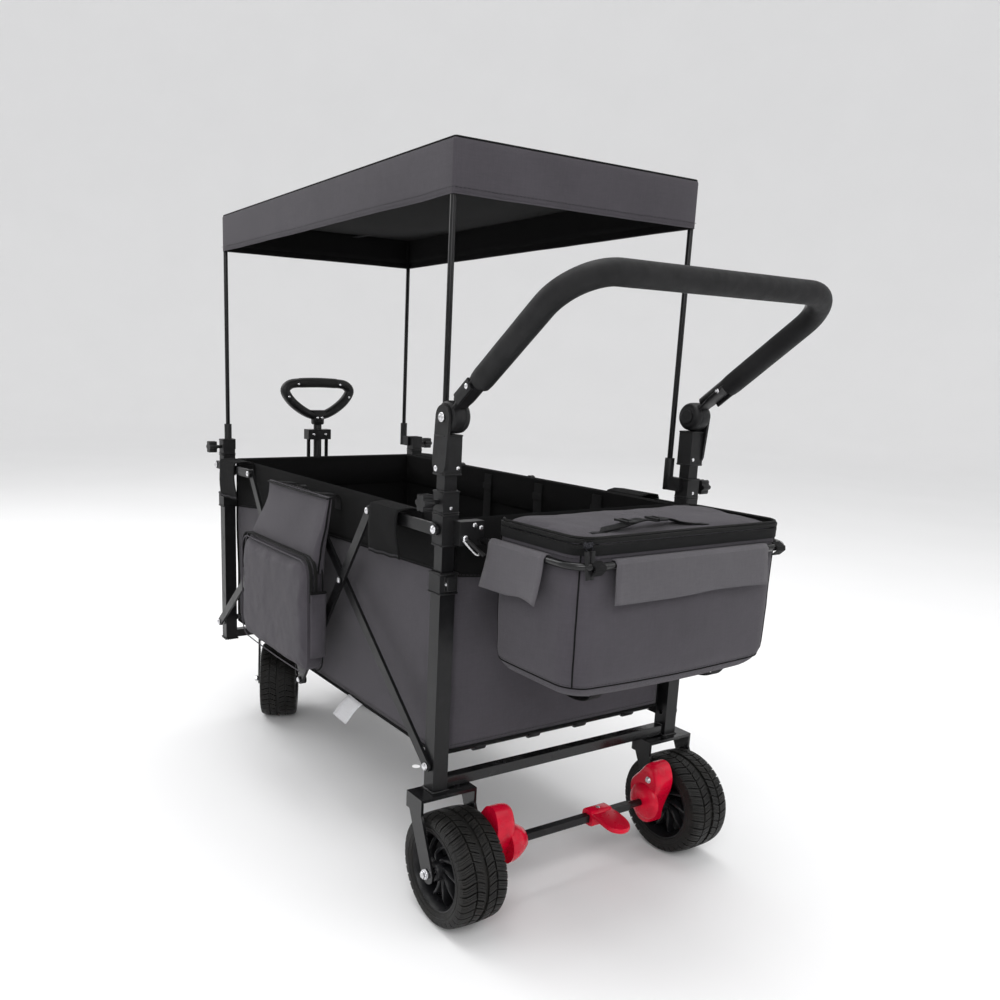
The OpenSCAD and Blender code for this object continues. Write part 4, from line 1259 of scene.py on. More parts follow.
@dataclass
class Basket:
    """The cooler basket behind the rear posts: a stiffened cloth tub, a zipped padded lid, flaps and straps."""

    inset: float = 0.002
    foot_inset: float = 0.036
    radius: float = 0.038
    knee: float = 0.17
    seam_at: float = 0.095
    corner_steps: int = 8
    side_steps: int = 26
    lid_body: str = "basket_lid"
    body: str = "rear_frame"

    def __post_init__(self) -> None:
        """Take the basket's boxes from the CAD nodes that it stands for."""
        self.low, self.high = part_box("basket_body")
        self.lid_low, self.lid_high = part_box("basket_lid")
        self.tube_low, self.tube_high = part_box("basket_frame")

    def ring(self, t: float, out: float = 0.0) -> Ring:
        """Give the body's outline at a share of the way from its foot to its rim.

        Args:
            t: The share of the way up.
            out: How far outside the cloth.

        Returns:
            The outline's points.
        """
        lo, hi = self.low, self.high
        z = lo.z + (hi.z - lo.z) * t
        round_foot = 1 - math.sqrt(max(0.0, 1 - (1 - min(t / self.knee, 1)) ** 2))
        taper = self.inset * (1 - t) + self.foot_inset * round_foot
        swell = 0.0055 * math.sin(math.pi * t) ** 0.8
        ring = []
        mid_x = (lo.x + hi.x) / 2
        for p in box_ring(lo.x + taper - out, hi.x - taper * 0.4 + out, lo.y + taper - out, hi.y - taper + out,
                          self.radius, z, self.corner_steps, self.side_steps):
            u = (p.x - mid_x) / ((hi.x - lo.x) / 2)
            v = p.y / ((hi.y - lo.y) / 2)
            dx = swell * abs(u) ** 6 * math.copysign(1, u) * (1 - v * v)
            dy = swell * abs(v) ** 6 * math.copysign(1, v) * (1 - u * u)
            rough = 0.0018 * ripple(Vector((p.x, p.y, p.z * 0.6)), 0.07, 8.0) + 0.0009 * ripple(p, 0.03, 9.0)
            away = Vector((p.x - mid_x, p.y, 0)).normalized()
            droop = -0.006 * math.cos(math.pi * min(abs(v), 1) / 2) * (1 - ease(t / 0.3))
            ring.append(p + Vector((dx, dy, droop)) + away * rough * math.sin(math.pi * min(t * 1.2, 1.0)))
        return ring

    def build_body(self) -> None:
        """Make the tub of the basket as one lofted shell that sags a little."""
        levels = [self.knee * (1 - math.cos(math.pi / 2 * k / 9)) for k in range(10)]
        levels += [self.knee + (1 - self.knee) * k / 15 for k in range(1, 16)]
        outer = [self.ring(t) for t in levels]
        middle = middle_of(outer[0])
        base = [[middle.lerp(p, s) - Z * 0.004 * (1 - s) for p in outer[0]] for s in (0.12, 0.45, 0.75, 0.93)]
        skin = Skin().rows(base + outer, wrap=True)
        skin.face(range(len(outer[0])))
        thing = skin.piece("basket_shell", (GREY_CLOTH, BLACK_CLOTH), self.body, "grey_cloth", sharp=55, solid=0.003,
                           inner=1)
        freeze(thing)
        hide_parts("basket_body")

    def build_seams(self) -> None:
        """Make the basket's pipings, corner seams, rim tape, foot straps and their stitches."""
        skin = Skin()
        rings = [self.ring(self.seam_at + 0.905 * k / 20, 0.0004) for k in range(21)]
        for k in range(4):
            number = self.corner_steps // 2 + k * (self.corner_steps + self.side_steps)
            skin.tube([r[number] for r in rings], 0.0013, 6)
        skin.tube(self.ring(self.seam_at, 0.0003), 0.0012, 6, loop=True)
        skin.strap(self.ring(0.985, 0.0012), 0.002, 0.014, Z, loop=True, slot=1)
        middle = Vector(((self.low.x + self.high.x) / 2, 0, 0))
        for t, shift in ((self.seam_at, 0.004), (0.985, -0.012)):
            path = [p + Z * shift for p in self.ring(t, 0.0014)]
            skin.stitches(path + path[:1], lambda p: Vector((p.x - middle.x, p.y, 0)), 0.0075, slot=2)
        for y in (-0.14, 0.14):
            x1 = self.low.x + 0.03
            skin.strap(spline([(x1, y, self.low.z + 0.004), (x1 + 0.018, y, self.low.z - 0.017),
                               (x1 + 0.06, y, self.low.z - 0.022), (x1 + 0.1, y, self.low.z - 0.004)], 8),
                       0.025, 0.0022, Z, slot=1)
        skin.piece("basket_seams", (BAND_CLOTH, WEBBING, THREAD), self.body, "black_cloth")

    def lid_ring(self, inset: float, z: float) -> Ring:
        """Give the lid's outline at one height."""
        lo, hi = self.lid_low, self.lid_high
        return box_ring(lo.x + inset, hi.x - 0.004 - inset, lo.y + inset, hi.y - inset, 0.034, z, self.corner_steps,
                        self.side_steps)

    def build_lid(self) -> None:
        """Make the padded lid, crowned in the middle."""
        lo, hi = self.lid_low, self.lid_high
        rows = [self.lid_ring(d, lo.z + z) for d, z in ((0.02, 0.001), (0.008, 0.001), (0.004, 0.005), (0.004, 0.009),
                                                        (0.010, 0.0125), (0.03, 0.0145))]
        edge = rows[-1]
        middle = middle_of(edge)
        for s in (0.75, 0.45, 0.15):
            rows.append([middle.lerp(p, s) + Z * 0.0035 * (1 - s * s) for p in edge])
        thing = Skin().loft(rows).piece("basket_lid_pad", (GREY_CLOTH,), self.lid_body,
                                                              "grey_cloth")
        puff(thing, 0.006, 0.005)
        for v in thing.data.vertices:
            if v.co.z > lo.z + 0.007:
                v.co.z -= 0.005 * ease((hi.x - 0.07 - v.co.x) / 0.13)
            if v.co.z > lo.z + 0.009:
                v.co.z += 0.002 * ripple(v.co, 0.06, 5.0) + 0.001 * ripple(v.co, 0.025, 6.0)
            v.co.z = max(v.co.z, lo.z + 0.0002)
        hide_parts("basket_lid")

    def build_zip(self) -> None:
        """Make the lid's zip: two tapes, the teeth, the slider with its tabs, and the carrying strap."""
        lo, hi = self.lid_low, self.lid_high
        skin = Skin()
        ring = self.lid_ring(0.0022, lo.z + 0.006)
        hinge = hi.x - 0.012
        turn = next(i for i, p in enumerate(ring) if p.x < hinge <= ring[i - 1].x and p.y > 0)
        path = ring[turn:] + ring[:turn]
        path = path[:next(i for i, p in enumerate(path) if i > 5 and p.x >= hinge)]
        middle = Vector(((lo.x + hi.x) / 2, 0, 0))

        def out(p: Vector) -> Vector:
            """Face away from the lid's middle."""
            return Vector((p.x - middle.x, p.y, 0))

        for dz in (-0.0042, 0.0042):
            skin.bar([p + Z * dz for p in path], rounded(0.0034, 0.0064, 0.0012, 2))
        skin.stitches([p + out(p).normalized() * 0.0012 for p in path], out, ZIP_PITCH, slot=1)
        skin.tube([p + Z * 0.0092 - out(p).normalized() * 0.003 for p in path], 0.0022, 8)
        at = min(path, key=lambda p: (p - Vector((lo.x + 0.012, 0.205, p.z))).length)
        skin.block(at + Vector((-0.008, -0.006, -0.004)), at + Vector((-0.002, 0.007, 0.005)), slot=1)
        for dy, lean in ((-0.0045, 0.002), (0.0075, -0.003)):
            start = at + Vector((-0.006, dy, -0.002))
            skin.tube([start, start + Vector((-0.004, 0, -0.003)), start + Vector((-0.0045, 0, -0.008))], 0.001, 6,
                      slot=1)
            tab = start + Vector((-0.0045, 0, -0.006))
            skin.bar(line(tab, tab + Vector((-0.003, lean, -0.042)), 5), rounded(0.0085, 0.0035, 0.0015, 2), X,
                     slot=2)
        skin.piece("basket_lid_zip", (ZIP, BLACK_CHROME, FITTING), self.lid_body, "black_cloth")

        strap = Skin()
        crown = hi.z - 0.0035
        x = lo.x + 0.046
        arch = ((0.006, 0.165, -0.004), (0.004, 0.14, 0.0), (-0.003, 0.11, 0.006), (-0.006, 0.075, 0.0135),
                (-0.002, 0.045, 0.010), (0.004, 0.01, 0.0105), (0.003, -0.02, 0.003), (-0.001, -0.05, -0.001),
                (-0.002, -0.075, -0.003))
        strap.strap(spline([(x + dx, y, crown + dz) for dx, y, dz in arch], 6), 0.024, 0.0024, Z)
        for y in (0.158, -0.068):
            mid = x + 0.004
            strap.strap(line((mid, y - 0.016, crown - 0.0035), (mid, y + 0.016, crown - 0.0025), 3), 0.028, 0.003, Z)
            for dx in (-0.009, 0.009):
                strap.stitches(line((mid + dx, y - 0.015, crown - 0.0015), (mid + dx, y + 0.015, crown), 3), Z, 0.004,
                               slot=1)
        for y in (0.10, 0.035):
            low, top = crown + 0.012, crown + 0.0125
            for s in (-1, 1):
                strap.bar(line((x - 0.016, y + s * 0.007, low), (x + 0.013, y + s * 0.007, top), 3),
                          rounded(0.004, 0.004, 0.0015, 3), slot=2)
            for dx in (-0.0165, 0.0135):
                strap.bar(line((x + dx, y - 0.009, low), (x + dx, y + 0.009, top), 3),
                          rounded(0.004, 0.0038, 0.0015, 3), slot=2)
        strap.piece("basket_lid_strap", (WEBBING, THREAD, FITTING), self.lid_body, "black_cloth")

    def flap(self, name: str, top: Ring, drop: float, lift: float, out: Vector, curl: float) -> None:
        """Make one loose cloth flap that wraps the basket's frame tube and hangs outside it.

        Args:
            name: The piece's name.
            top: The points along the frame tube.
            drop: How far it hangs.
            lift: How far its foot swings away from the basket.
            out: The way that it faces.
            curl: How much its corners curl.
        """
        rows = []
        along = (top[-1] - top[0]).normalized()
        for i, p in enumerate(top):
            u = i / (len(top) - 1)
            row = [p - out * 0.0135 - Z * 0.008, p - out * 0.0095 + Z * 0.003, p - out * 0.004 + Z * 0.0085,
                   p + out * 0.003 + Z * 0.0085, p + out * 0.0085 + Z * 0.002]
            start = row[-1]
            for k in range(1, 13):
                t = k / 12
                away = lift * ease(t) + curl * t * t * (abs(u - 0.5) * 2) ** 3
                away += 0.0035 * t * ripple(Vector((u * 0.3, t * 0.1, drop)), 0.08, 3.0)
                skew = along * (0.006 * t * math.sin(7 * u))
                row.append(start + out * away + skew - Z * (drop * t * (1 - 0.03 * math.sin(math.pi * u * 2))))
            rows.append(row)
        skin = Skin().rows(rows if along.cross(Z).dot(out) > 0 else rows[::-1])
        thing = skin.piece(name, (PALE_CLOTH,), self.body, "grey_cloth", fix=False, solid=0.0018)

    def build_flaps(self) -> None:
        """Make the three flaps: one at the rear and one at each side."""
        y_tube = self.tube_high.y - 0.006
        x_tube = self.tube_low.x + 0.006
        z_tube = (self.tube_low.z + self.tube_high.z) / 2
        for name, s, drop, lift, curl in (("left", 1, 0.072, 0.004, 0.009), ("right", -1, 0.07, 0.003, 0.007)):
            ends = [(self.high.x - reach, s * y_tube, z_tube) for reach in (0.152, 0.012)]
            self.flap(f"basket_flap_{name}", line(*ends, 14), drop, lift, Y * s, curl)
        self.flap("basket_flap_rear", line((x_tube, -0.168, z_tube), (x_tube, 0.168, z_tube), 30), 0.06, 0.002, -X,
                  0.004)
        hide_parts("basket_flaps")
        skin = Skin()
        for s in (-1, 1):
            over, out, under, in_ = ((x_tube + dx, s * 0.2, z_tube + dz) for dx, dz in
                                     ((0.004, 0.0075), (-0.0075, 0.002), (-0.0085, -0.004), (0.001, -0.013)))
            skin.strap(line(over, out, 3) + line(under, in_, 3), 0.022, 0.002, Vector((-0.6, 0, 0.8)))
        skin.piece("basket_frame_tapes", (WEBBING,), self.body, "black_cloth")

    def build_catches(self) -> None:
        """Make the wire bails and buckles that hold the basket's frame to the rear posts."""
        skin = Skin()
        for s in (-1, 1):
            loop = spline([(x, s * y, z) for x, y, z in (
                (-0.553, 0.270, 0.676), (-0.562, 0.266, 0.668), (-0.572, 0.2585, 0.657), (-0.575, 0.253, 0.655),
                (-0.571, 0.2525, 0.661), (-0.560, 0.259, 0.671), (-0.553, 0.264, 0.677))], 6)
            skin.tube(loop, 0.0015, 8)
            skin.lathe([(-0.001, 0.005), (0.004, 0.005), (0.0055, 0.0035), (0.0055, 0.0004)],
                       (-0.552, s * 0.267, 0.680), -X, 18)
            skin.bar(line((-0.5545, s * 0.262, 0.6755), (-0.581, s * 0.2465, 0.6545), 5),
                     rounded(0.011, 0.004, 0.0016, 3), slot=1)
        skin.piece("basket_catches", (BRIGHT, FITTING), self.body, "bright_steel")

    def build(self) -> None:
        """Make the whole basket."""
        self.build_body()
        self.build_seams()
        self.build_lid()
        self.build_zip()
        self.build_flaps()
        self.build_catches()


# ---------------------------------------------------------------- hard parts


class Head(Enum):
    """The kinds of fastener heads."""

    DOME = "dome"
    HEX = "hex"
    PAN = "pan"


@dataclass
class Fasteners:
    """Rivets, bolts and screws, gathered by the body that they ride on."""

    skins: dict[str, Skin] = field(default_factory=dict)

    def add(self, body: str, head: Head, at: Sequence[float], way: Vector, radius: float) -> None:
        """Add one head.

        Args:
            body: The body that it rides on.
            head: Its kind.
            at: The middle of its seat.
            way: The way that it faces.
            radius: Its radius.
        """
        skin = self.skins.setdefault(body, Skin())
        if head is Head.HEX:
            skin.lathe([(-0.0006, radius * 1.25), (0.0008, radius * 1.25), (0.0009, 0.0005)], at, way, 24)
            top = radius * 0.75
            skin.lathe([(0.0, radius), (radius * 0.62, radius), (top, radius * 0.86), (top, 0.0004)], at, way, 6)
            return
        top = radius * (0.5 if head is Head.DOME else 0.42)
        profile = [(-0.0006, radius), (top * 0.35, radius * 0.97), (top * 0.75, radius * 0.75), (top, radius * 0.4)]
        if head is Head.PAN:
            profile += [(top, radius * 0.3), (top * 0.4, radius * 0.24), (top * 0.4, 0.0003)]
        else:
            profile += [(top * 1.05, 0.0003)]
        skin.lathe(profile, at, way, 20)

    def build(self) -> None:
        """Make one piece for each body."""
        for body, skin in self.skins.items():
            skin.piece(f"{body}_fasteners", (BRIGHT,), body, "bright_steel", sharp=30)


@dataclass
class Wheel:
    """A wide road-patterned tyre on a spoked rim, in its own frame with the axle along Y."""

    radius: float = 0.1
    width: float = 0.095
    bead: float = 0.066
    pitches: int = 38
    groove: float = 0.0042
    spokes: int = 10
    hub: float = 0.0445

    def tread_rows(self) -> list[tuple[float, float, float, float]]:
        """Give the tyre's rows across.

        Returns:
            For each row its y, its radius, how deep its cross grooves are as a share, and its skew in pitches.
        """
        half = self.width / 2
        r = self.radius
        side = [(half - 0.010, self.bead + 0.0005, 0, 0.9), (half - 0.004, self.bead + 0.003, 0, 0.9),
                (half - 0.0005, r - 0.024, 0, 0.9), (half, r - 0.0165, 0, 0.9), (half - 0.0004, r - 0.0160, 0, 0.9),
                (half, r - 0.0125, 0.5, 0.9), (half - 0.0018, r - 0.0062, 0.9, 0.88),
                (half - 0.0065, r - 0.0028, 1, 0.84), (0.034, r - 0.0014, 1, 0.7), (0.027, r - 0.0008, 1, 0.55),
                (0.0225, r - 0.0004, 1, 0.48), (0.0222, r - self.groove, 0, 0.48), (0.0196, r - self.groove, 0, 0.44),
                (0.0193, r - 0.0003, 0.85, 0.44), (0.012, r - 0.0001, 0.85, 0.62), (0.0040, r, 0.85, 0.86),
                (0.0037, r - self.groove, 0, 0.86)]
        return side + [(-y, rr, d, 0.45 + s) for y, rr, d, s in side[::-1]]

    def tyre(self) -> bpy.types.Mesh:
        """Build the tyre's mesh, with its blocks, grooves and sipes."""
        steps = [(0.0, 1.0), (0.105, 1.0), (0.125, 0.0), (0.34, 0.0), (0.36, 0.3), (0.385, 0.3), (0.405, 0.0),
                 (0.66, 0.0), (0.68, 0.3), (0.705, 0.3), (0.725, 0.0), (0.98, 0.0)]
        rows = []
        for y, r, depth, skew in self.tread_rows():
            row = []
            for k in range(self.pitches):
                for at, cut in steps:
                    wiggle = 0.05 * math.sin(at * math.tau)
                    a = math.tau * (k + at + skew + wiggle * (depth > 0)) / self.pitches
                    rr = r - self.groove * depth * cut
                    row.append(Vector((rr * math.cos(a), y, rr * math.sin(a))))
            rows.append(row)
        first, last = (hoop(self.bead, row[0].y, len(row)) for row in (rows[0], rows[-1]))
        skin = Skin().rows([first] + rows + [last], wrap=True, close=True)
        for s in (-1, 1):
            for r, w in ((self.radius - 0.0215, 0.0012), (self.bead + 0.0065, 0.0016)):
                y = s * (self.width / 2 - (0.0006 if w < 0.0015 else 0.0032))
                skin.tube(hoop(r, y), w, 6, loop=True)
        return skin.mesh("tyre_mesh", (TYRE,), 26)

    def rim(self) -> bpy.types.Mesh:
        """Build the rim's mesh: barrel, web, curved spokes and hub, the same on both faces."""
        half = self.width / 2
        skin = Skin()
        outer = [(0.0075, 0.0705), (0.004, 0.0695), (0.0035, 0.0672), (0.012, 0.0625), (0.026, 0.0605)]
        profile = [(-half + d, r) for d, r in outer] + [(half - d, r) for d, r in outer[::-1]]
        profile += [(half - 0.009, 0.0655), (-half + 0.009, 0.0655)]
        web = [(-0.010, 0.060), (-0.006, 0.0615), (0.006, 0.0615), (0.010, 0.060), (0.004, 0.02), (-0.004, 0.02)]
        for outline in (profile, web):
            skin.rows([hoop(r, y) for y, r in outline], wrap=True, close=True)

        def spoke(t: float) -> Section:
            """Give a spoke's outline, thinner in the middle and shallower towards the rim."""
            return rounded(0.0085 - 0.003 * math.sin(math.pi * t), 0.017 - 0.004 * t, 0.0022, 3)

        for s in (-1, 1):
            skin.lathe([(0.003, 0.0225), (0.014, 0.0215), (0.026, 0.018), (self.hub - 0.004, 0.0165),
                        (self.hub, 0.0145), (self.hub, 0.0085), (self.hub - 0.003, 0.0075), (self.hub - 0.003, 0.001)],
                       (0, 0, 0), Y * s, 40)
            for k in range(self.spokes):
                start = math.tau * k / self.spokes
                path = []
                for i in range(11):
                    t = i / 10
                    r = 0.0165 + 0.046 * t
                    a = start + 0.62 * s * ease(t)
                    y = s * (0.026 + 0.008 * math.sin(math.pi * t * 0.9) - 0.009 * t * t)
                    path.append(Vector((r * math.cos(a), y, r * math.sin(a))))
                skin.bar(path, spoke, Y)
        return skin.mesh("rim_mesh", (RIM,), 34)

    def build(self) -> None:
        """Place a tyre and a rim at each of the four wheels."""
        tyre, rim = self.tyre(), self.rim()
        for end, yaw in (("rear", 0.0), ("front", CASTER_YAW)):
            for side, flip in (("left", 0.0), ("right", math.pi)):
                lo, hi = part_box(f"{end}_tyre_{side}")
                spot = Matrix.Translation((lo + hi) / 2) @ Matrix.Rotation(yaw + flip, 4, "Z")
                for mesh, part, slot in ((tyre, "tyre", "tyre"), (rim, "rim", "rim_plastic")):
                    thing = place(f"{end}_{part}_{side}_detail", mesh)
                    thing.matrix_world = spot
                    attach(thing, f"{end}_wheel_{side}")
                    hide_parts(f"{end}_{part}_{side}")
                log.info("%s wheel %s placed", end, side)


@dataclass
class PushHandle:
    """The foam-covered push handle, its hinge heads and the heads' covers."""

    tilt: float = 36.6
    hinge: tuple[float, float] = (-0.522, 0.874)
    length: float = 0.338
    lift: float = 0.011
    arm_y: float = 0.279
    bend: float = 0.078
    foam: float = 0.019

    def at(self, along: float, y: float, up: float) -> Vector:
        """Give a point in the handle's own plane, measured from its hinge."""
        a = math.radians(self.tilt)
        return Vector((self.hinge[0] - along * math.cos(a) - up * math.sin(a), y,
                       self.hinge[1] + along * math.sin(a) + up * math.cos(a)))

    def path(self, start: float) -> Ring:
        """Give the handle's centreline from the left arm round to the right."""
        points = [(start + (self.length - self.bend - start) * k / 16, self.arm_y) for k in range(17)]
        for k in range(1, 17):
            a = math.pi / 2 * k / 16
            points.append((self.length - self.bend + self.bend * math.sin(a),
                           self.arm_y - self.bend + self.bend * math.cos(a)))
        half = points + [(self.length, (self.arm_y - self.bend) * (1 - k / 10)) for k in range(1, 11)]
        return [self.at(a, y, self.lift) for a, y in half] + [self.at(a, -y, self.lift) for a, y in half[-2::-1]]

    def build_foam(self) -> None:
        """Make the foam sleeve, with soft swellings and squared-off ends."""
        path = self.path(0.083)
        sides = 32

        def section(t: float) -> Section:
            """Give the foam's outline, a little narrower at each end."""
            end = min(t, 1 - t)
            r = self.foam * (1 - 0.05 * (1 - ease(end / 0.006))) * (1 - 0.006 * abs(math.sin(t * 40)))
            return circle(r, sides)

        skin = Skin().rows(sweep(path, section, Z), wrap=True)
        first, last = skin.points[:sides], skin.points[-sides:]
        for ring, centre in ((first, path[0]), (last, path[-1])):
            skin.rows([[centre.lerp(p, s) for p in ring] for s in (1.0, 0.93, 0.6)], wrap=True)
        thing = skin.piece("push_handle_foam", (FOAM,), "push_handle", "foam", sharp=50)
        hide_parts("foam_grip")

    def build_heads(self) -> None:
        """Make the moulded hinge heads with their ribs and the arm sockets."""
        skin = Skin()
        for s in (1, -1):
            centre = (self.hinge[0], s * 0.258, self.hinge[1])
            skin.lathe([(0.0, 0.010), (0.0, 0.0185), (0.002, 0.0225), (0.006, 0.0253), (0.011, 0.0263),
                        (0.0125, 0.0256), (0.014, 0.0264), (0.030, 0.0264), (0.0338, 0.0252), (0.0358, 0.0225),
                        (0.0358, 0.006)], centre, Y * s, 48)
            arm = [self.at(a, s * self.arm_y, self.lift * ease(a / 0.03))
                   for a in (0.006, 0.024, 0.033, 0.042, 0.078, 0.0825, 0.084)]
            sizes = ((0.0285, 0.036), (0.0285, 0.036), (0.031, 0.0365), (0.0365, 0.037), (0.037, 0.037),
                     (0.037, 0.037), (0.0355, 0.0355))
            plate = [self.at(a, s * (self.arm_y + 0.0165), self.lift) for a in (0.034, 0.05, 0.074, 0.078)]
            skin.strap(plate, 0.021, 0.006, Y * s)
            a = math.radians(self.tilt)
            up = Vector((-math.sin(a), 0, math.cos(a)))
            skin.loft([[p + Y * u + up * v for u, v in rounded(w, h, min(w, h) * 0.42, 6)]
                       for p, (w, h) in zip(arm, sizes)])
        thing = skin.piece("push_handle_heads", (FITTING,), "push_handle", "fitting_plastic", sharp=32)
        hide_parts("push_handle_hubs")

    def build(self) -> None:
        """Make the handle's pieces."""
        self.build_foam()
        self.build_heads()


@dataclass
class PullGrip:
    """The loop grip on the telescopic pull handle."""

    x: float = 0.572
    top: float = 0.898
    neck: float = 0.8

    def build(self) -> None:
        """Make the loop, its neck and the rubber pad on its top bar."""
        half = [(0.052, 0.001), (0.083, -0.004), (0.0965, -0.021), (0.080, -0.047), (0.052, -0.069), (0.024, -0.083)]
        shape = [(-y, z) for y, z in half] + [(0.0, -0.087)] + half[::-1] + [(0.0, 0.0025)]
        path = spline([(self.x, y, self.top + z) for y, z in shape], 6, loop=True)

        def section(t: float) -> Section:
            """Give the bar's outline, thickest at the top bar and the sides."""
            low = bump(abs(t - 0.43), 0.0, 0.22)
            return rounded(0.0245 - 0.002 * low, 0.026, 0.0105, 5)

        skin = Skin().bar(path, section, X, loop=True)
        rows = [[Vector((self.x + a, b, self.neck + z)) for b, a in rounded(w, d, r, 6)]
                for z, w, d, r in ((-0.0125, 0.030, 0.027, 0.0115), (-0.010, 0.034, 0.029, 0.012),
                                   (0.004, 0.035, 0.029, 0.012), (0.016, 0.043, 0.027, 0.012),
                                   (0.026, 0.06, 0.025, 0.011))]
        skin.loft(rows)
        thing = skin.piece("pull_grip_loop", (FITTING,), "pull_stem", "fitting_plastic", sharp=40)
        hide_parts("pull_grip")
        pad = Skin()
        bar = spline([(self.x, y, self.top + 0.001 + 0.0015 * math.cos(y * 30))
                      for y in (-0.055, -0.03, 0, 0.03, 0.055)], 8)
        pad.bar(bar, lambda t: rounded(0.0262 - 0.001 * (abs(t - 0.5) * 2) ** 6, 0.0278, 0.0112, 6), X)
        pad.piece("pull_grip_pad", (SOFT_RUBBER,), "pull_stem", "foam", sharp=40)


@dataclass
class Brake:
    """The red brake covers beside the rear wheels and the red pedal."""

    x: float = -0.58
    z: float = 0.124
    pedal_y: float = -0.05

    def outline(self, points: Sequence[tuple[float, float]], y: float, shrink: float = 1.0) -> Ring:
        """Give a smooth outline in x and z at one y, shrunk about its middle."""
        curve = spline([(a, y, b) for a, b in points], 6, loop=True)
        middle = middle_of(curve)
        return [middle.lerp(p, shrink) for p in curve]

    def build_covers(self) -> None:
        """Make the two rounded covers with their bosses."""
        skin = Skin()
        shape = [(-0.612, 0.178), (-0.600, 0.203), (-0.578, 0.203), (-0.560, 0.182), (-0.540, 0.158), (-0.538, 0.136),
                 (-0.551, 0.112), (-0.557, 0.086), (-0.573, 0.076), (-0.590, 0.080), (-0.594, 0.104), (-0.602, 0.13),
                 (-0.610, 0.152)]
        for s in (1, -1):
            rows = [self.outline(shape, s * y, k) for y, k in
                    ((0.2122, 0.99), (0.2122, 1.0), (0.193, 1.0), (0.182, 0.985), (0.176, 0.95), (0.1725, 0.88),
                     (0.1715, 0.72))]
            skin.loft(rows)
            reach = 1.0 if s > 0 else 0.3
            skin.lathe([(d * reach, r) for d, r in ((-0.004, 0.037), (0.006, 0.0365), (0.018, 0.033), (0.030, 0.027),
                                                    (0.040, 0.0205), (0.043, 0.016), (0.043, 0.0075))],
                       (self.x, s * 0.1735, self.z), Y * -s, 40)
        thing = skin.piece("brake_cover_shells", (RED,), "rear_frame", "brake_red", sharp=40)
        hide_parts("brake_covers")

    def build_pedal(self) -> None:
        """Make the pedal: a clamp round the bar and a rounded paddle."""
        skin = Skin()
        rows = []
        paddle = ((-0.012, 0.025), (-0.034, 0.0265), (-0.060, 0.024), (-0.0755, 0.010), (-0.0755, -0.010),
                  (-0.060, -0.024), (-0.034, -0.0265), (-0.012, -0.025), (0.008, -0.016), (0.010, 0.0), (0.008, 0.016))
        for z, grow in ((0.1268, 0.9), (0.1275, 0.97), (0.131, 1.0), (0.134, 1.0), (0.1362, 0.965), (0.1368, 0.9)):
            ring = spline([(self.x + dx, y, z) for dx, y in paddle], 5, loop=True)
            middle = Vector((self.x - 0.032, 0, z))
            rows.append([middle.lerp(p, grow) - Z * 0.007 * ease((self.x - 0.02 - p.x) / 0.06) for p in ring])
        skin.loft(rows)
        clamp = [[Vector((self.x + a, y, self.z + b)) for a, b in rounded(0.031, 0.031, 0.009, 5)]
                 for y in (-0.0255, -0.0235, 0.0235, 0.0255)]
        for ring, size in zip(clamp, (0.93, 1.0, 1.0, 0.93)):
            middle = middle_of(ring)
            ring[:] = [middle.lerp(p, size) for p in ring]
        skin.loft(clamp)
        skin.points = [p + Y * self.pedal_y for p in skin.points]
        thing = skin.piece("brake_pedal_paddle", (RED,), "brake", "brake_red", sharp=40)
        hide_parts("brake_pedal")

    def build(self) -> None:
        """Make the brake's red parts."""
        self.build_covers()
        self.build_pedal()


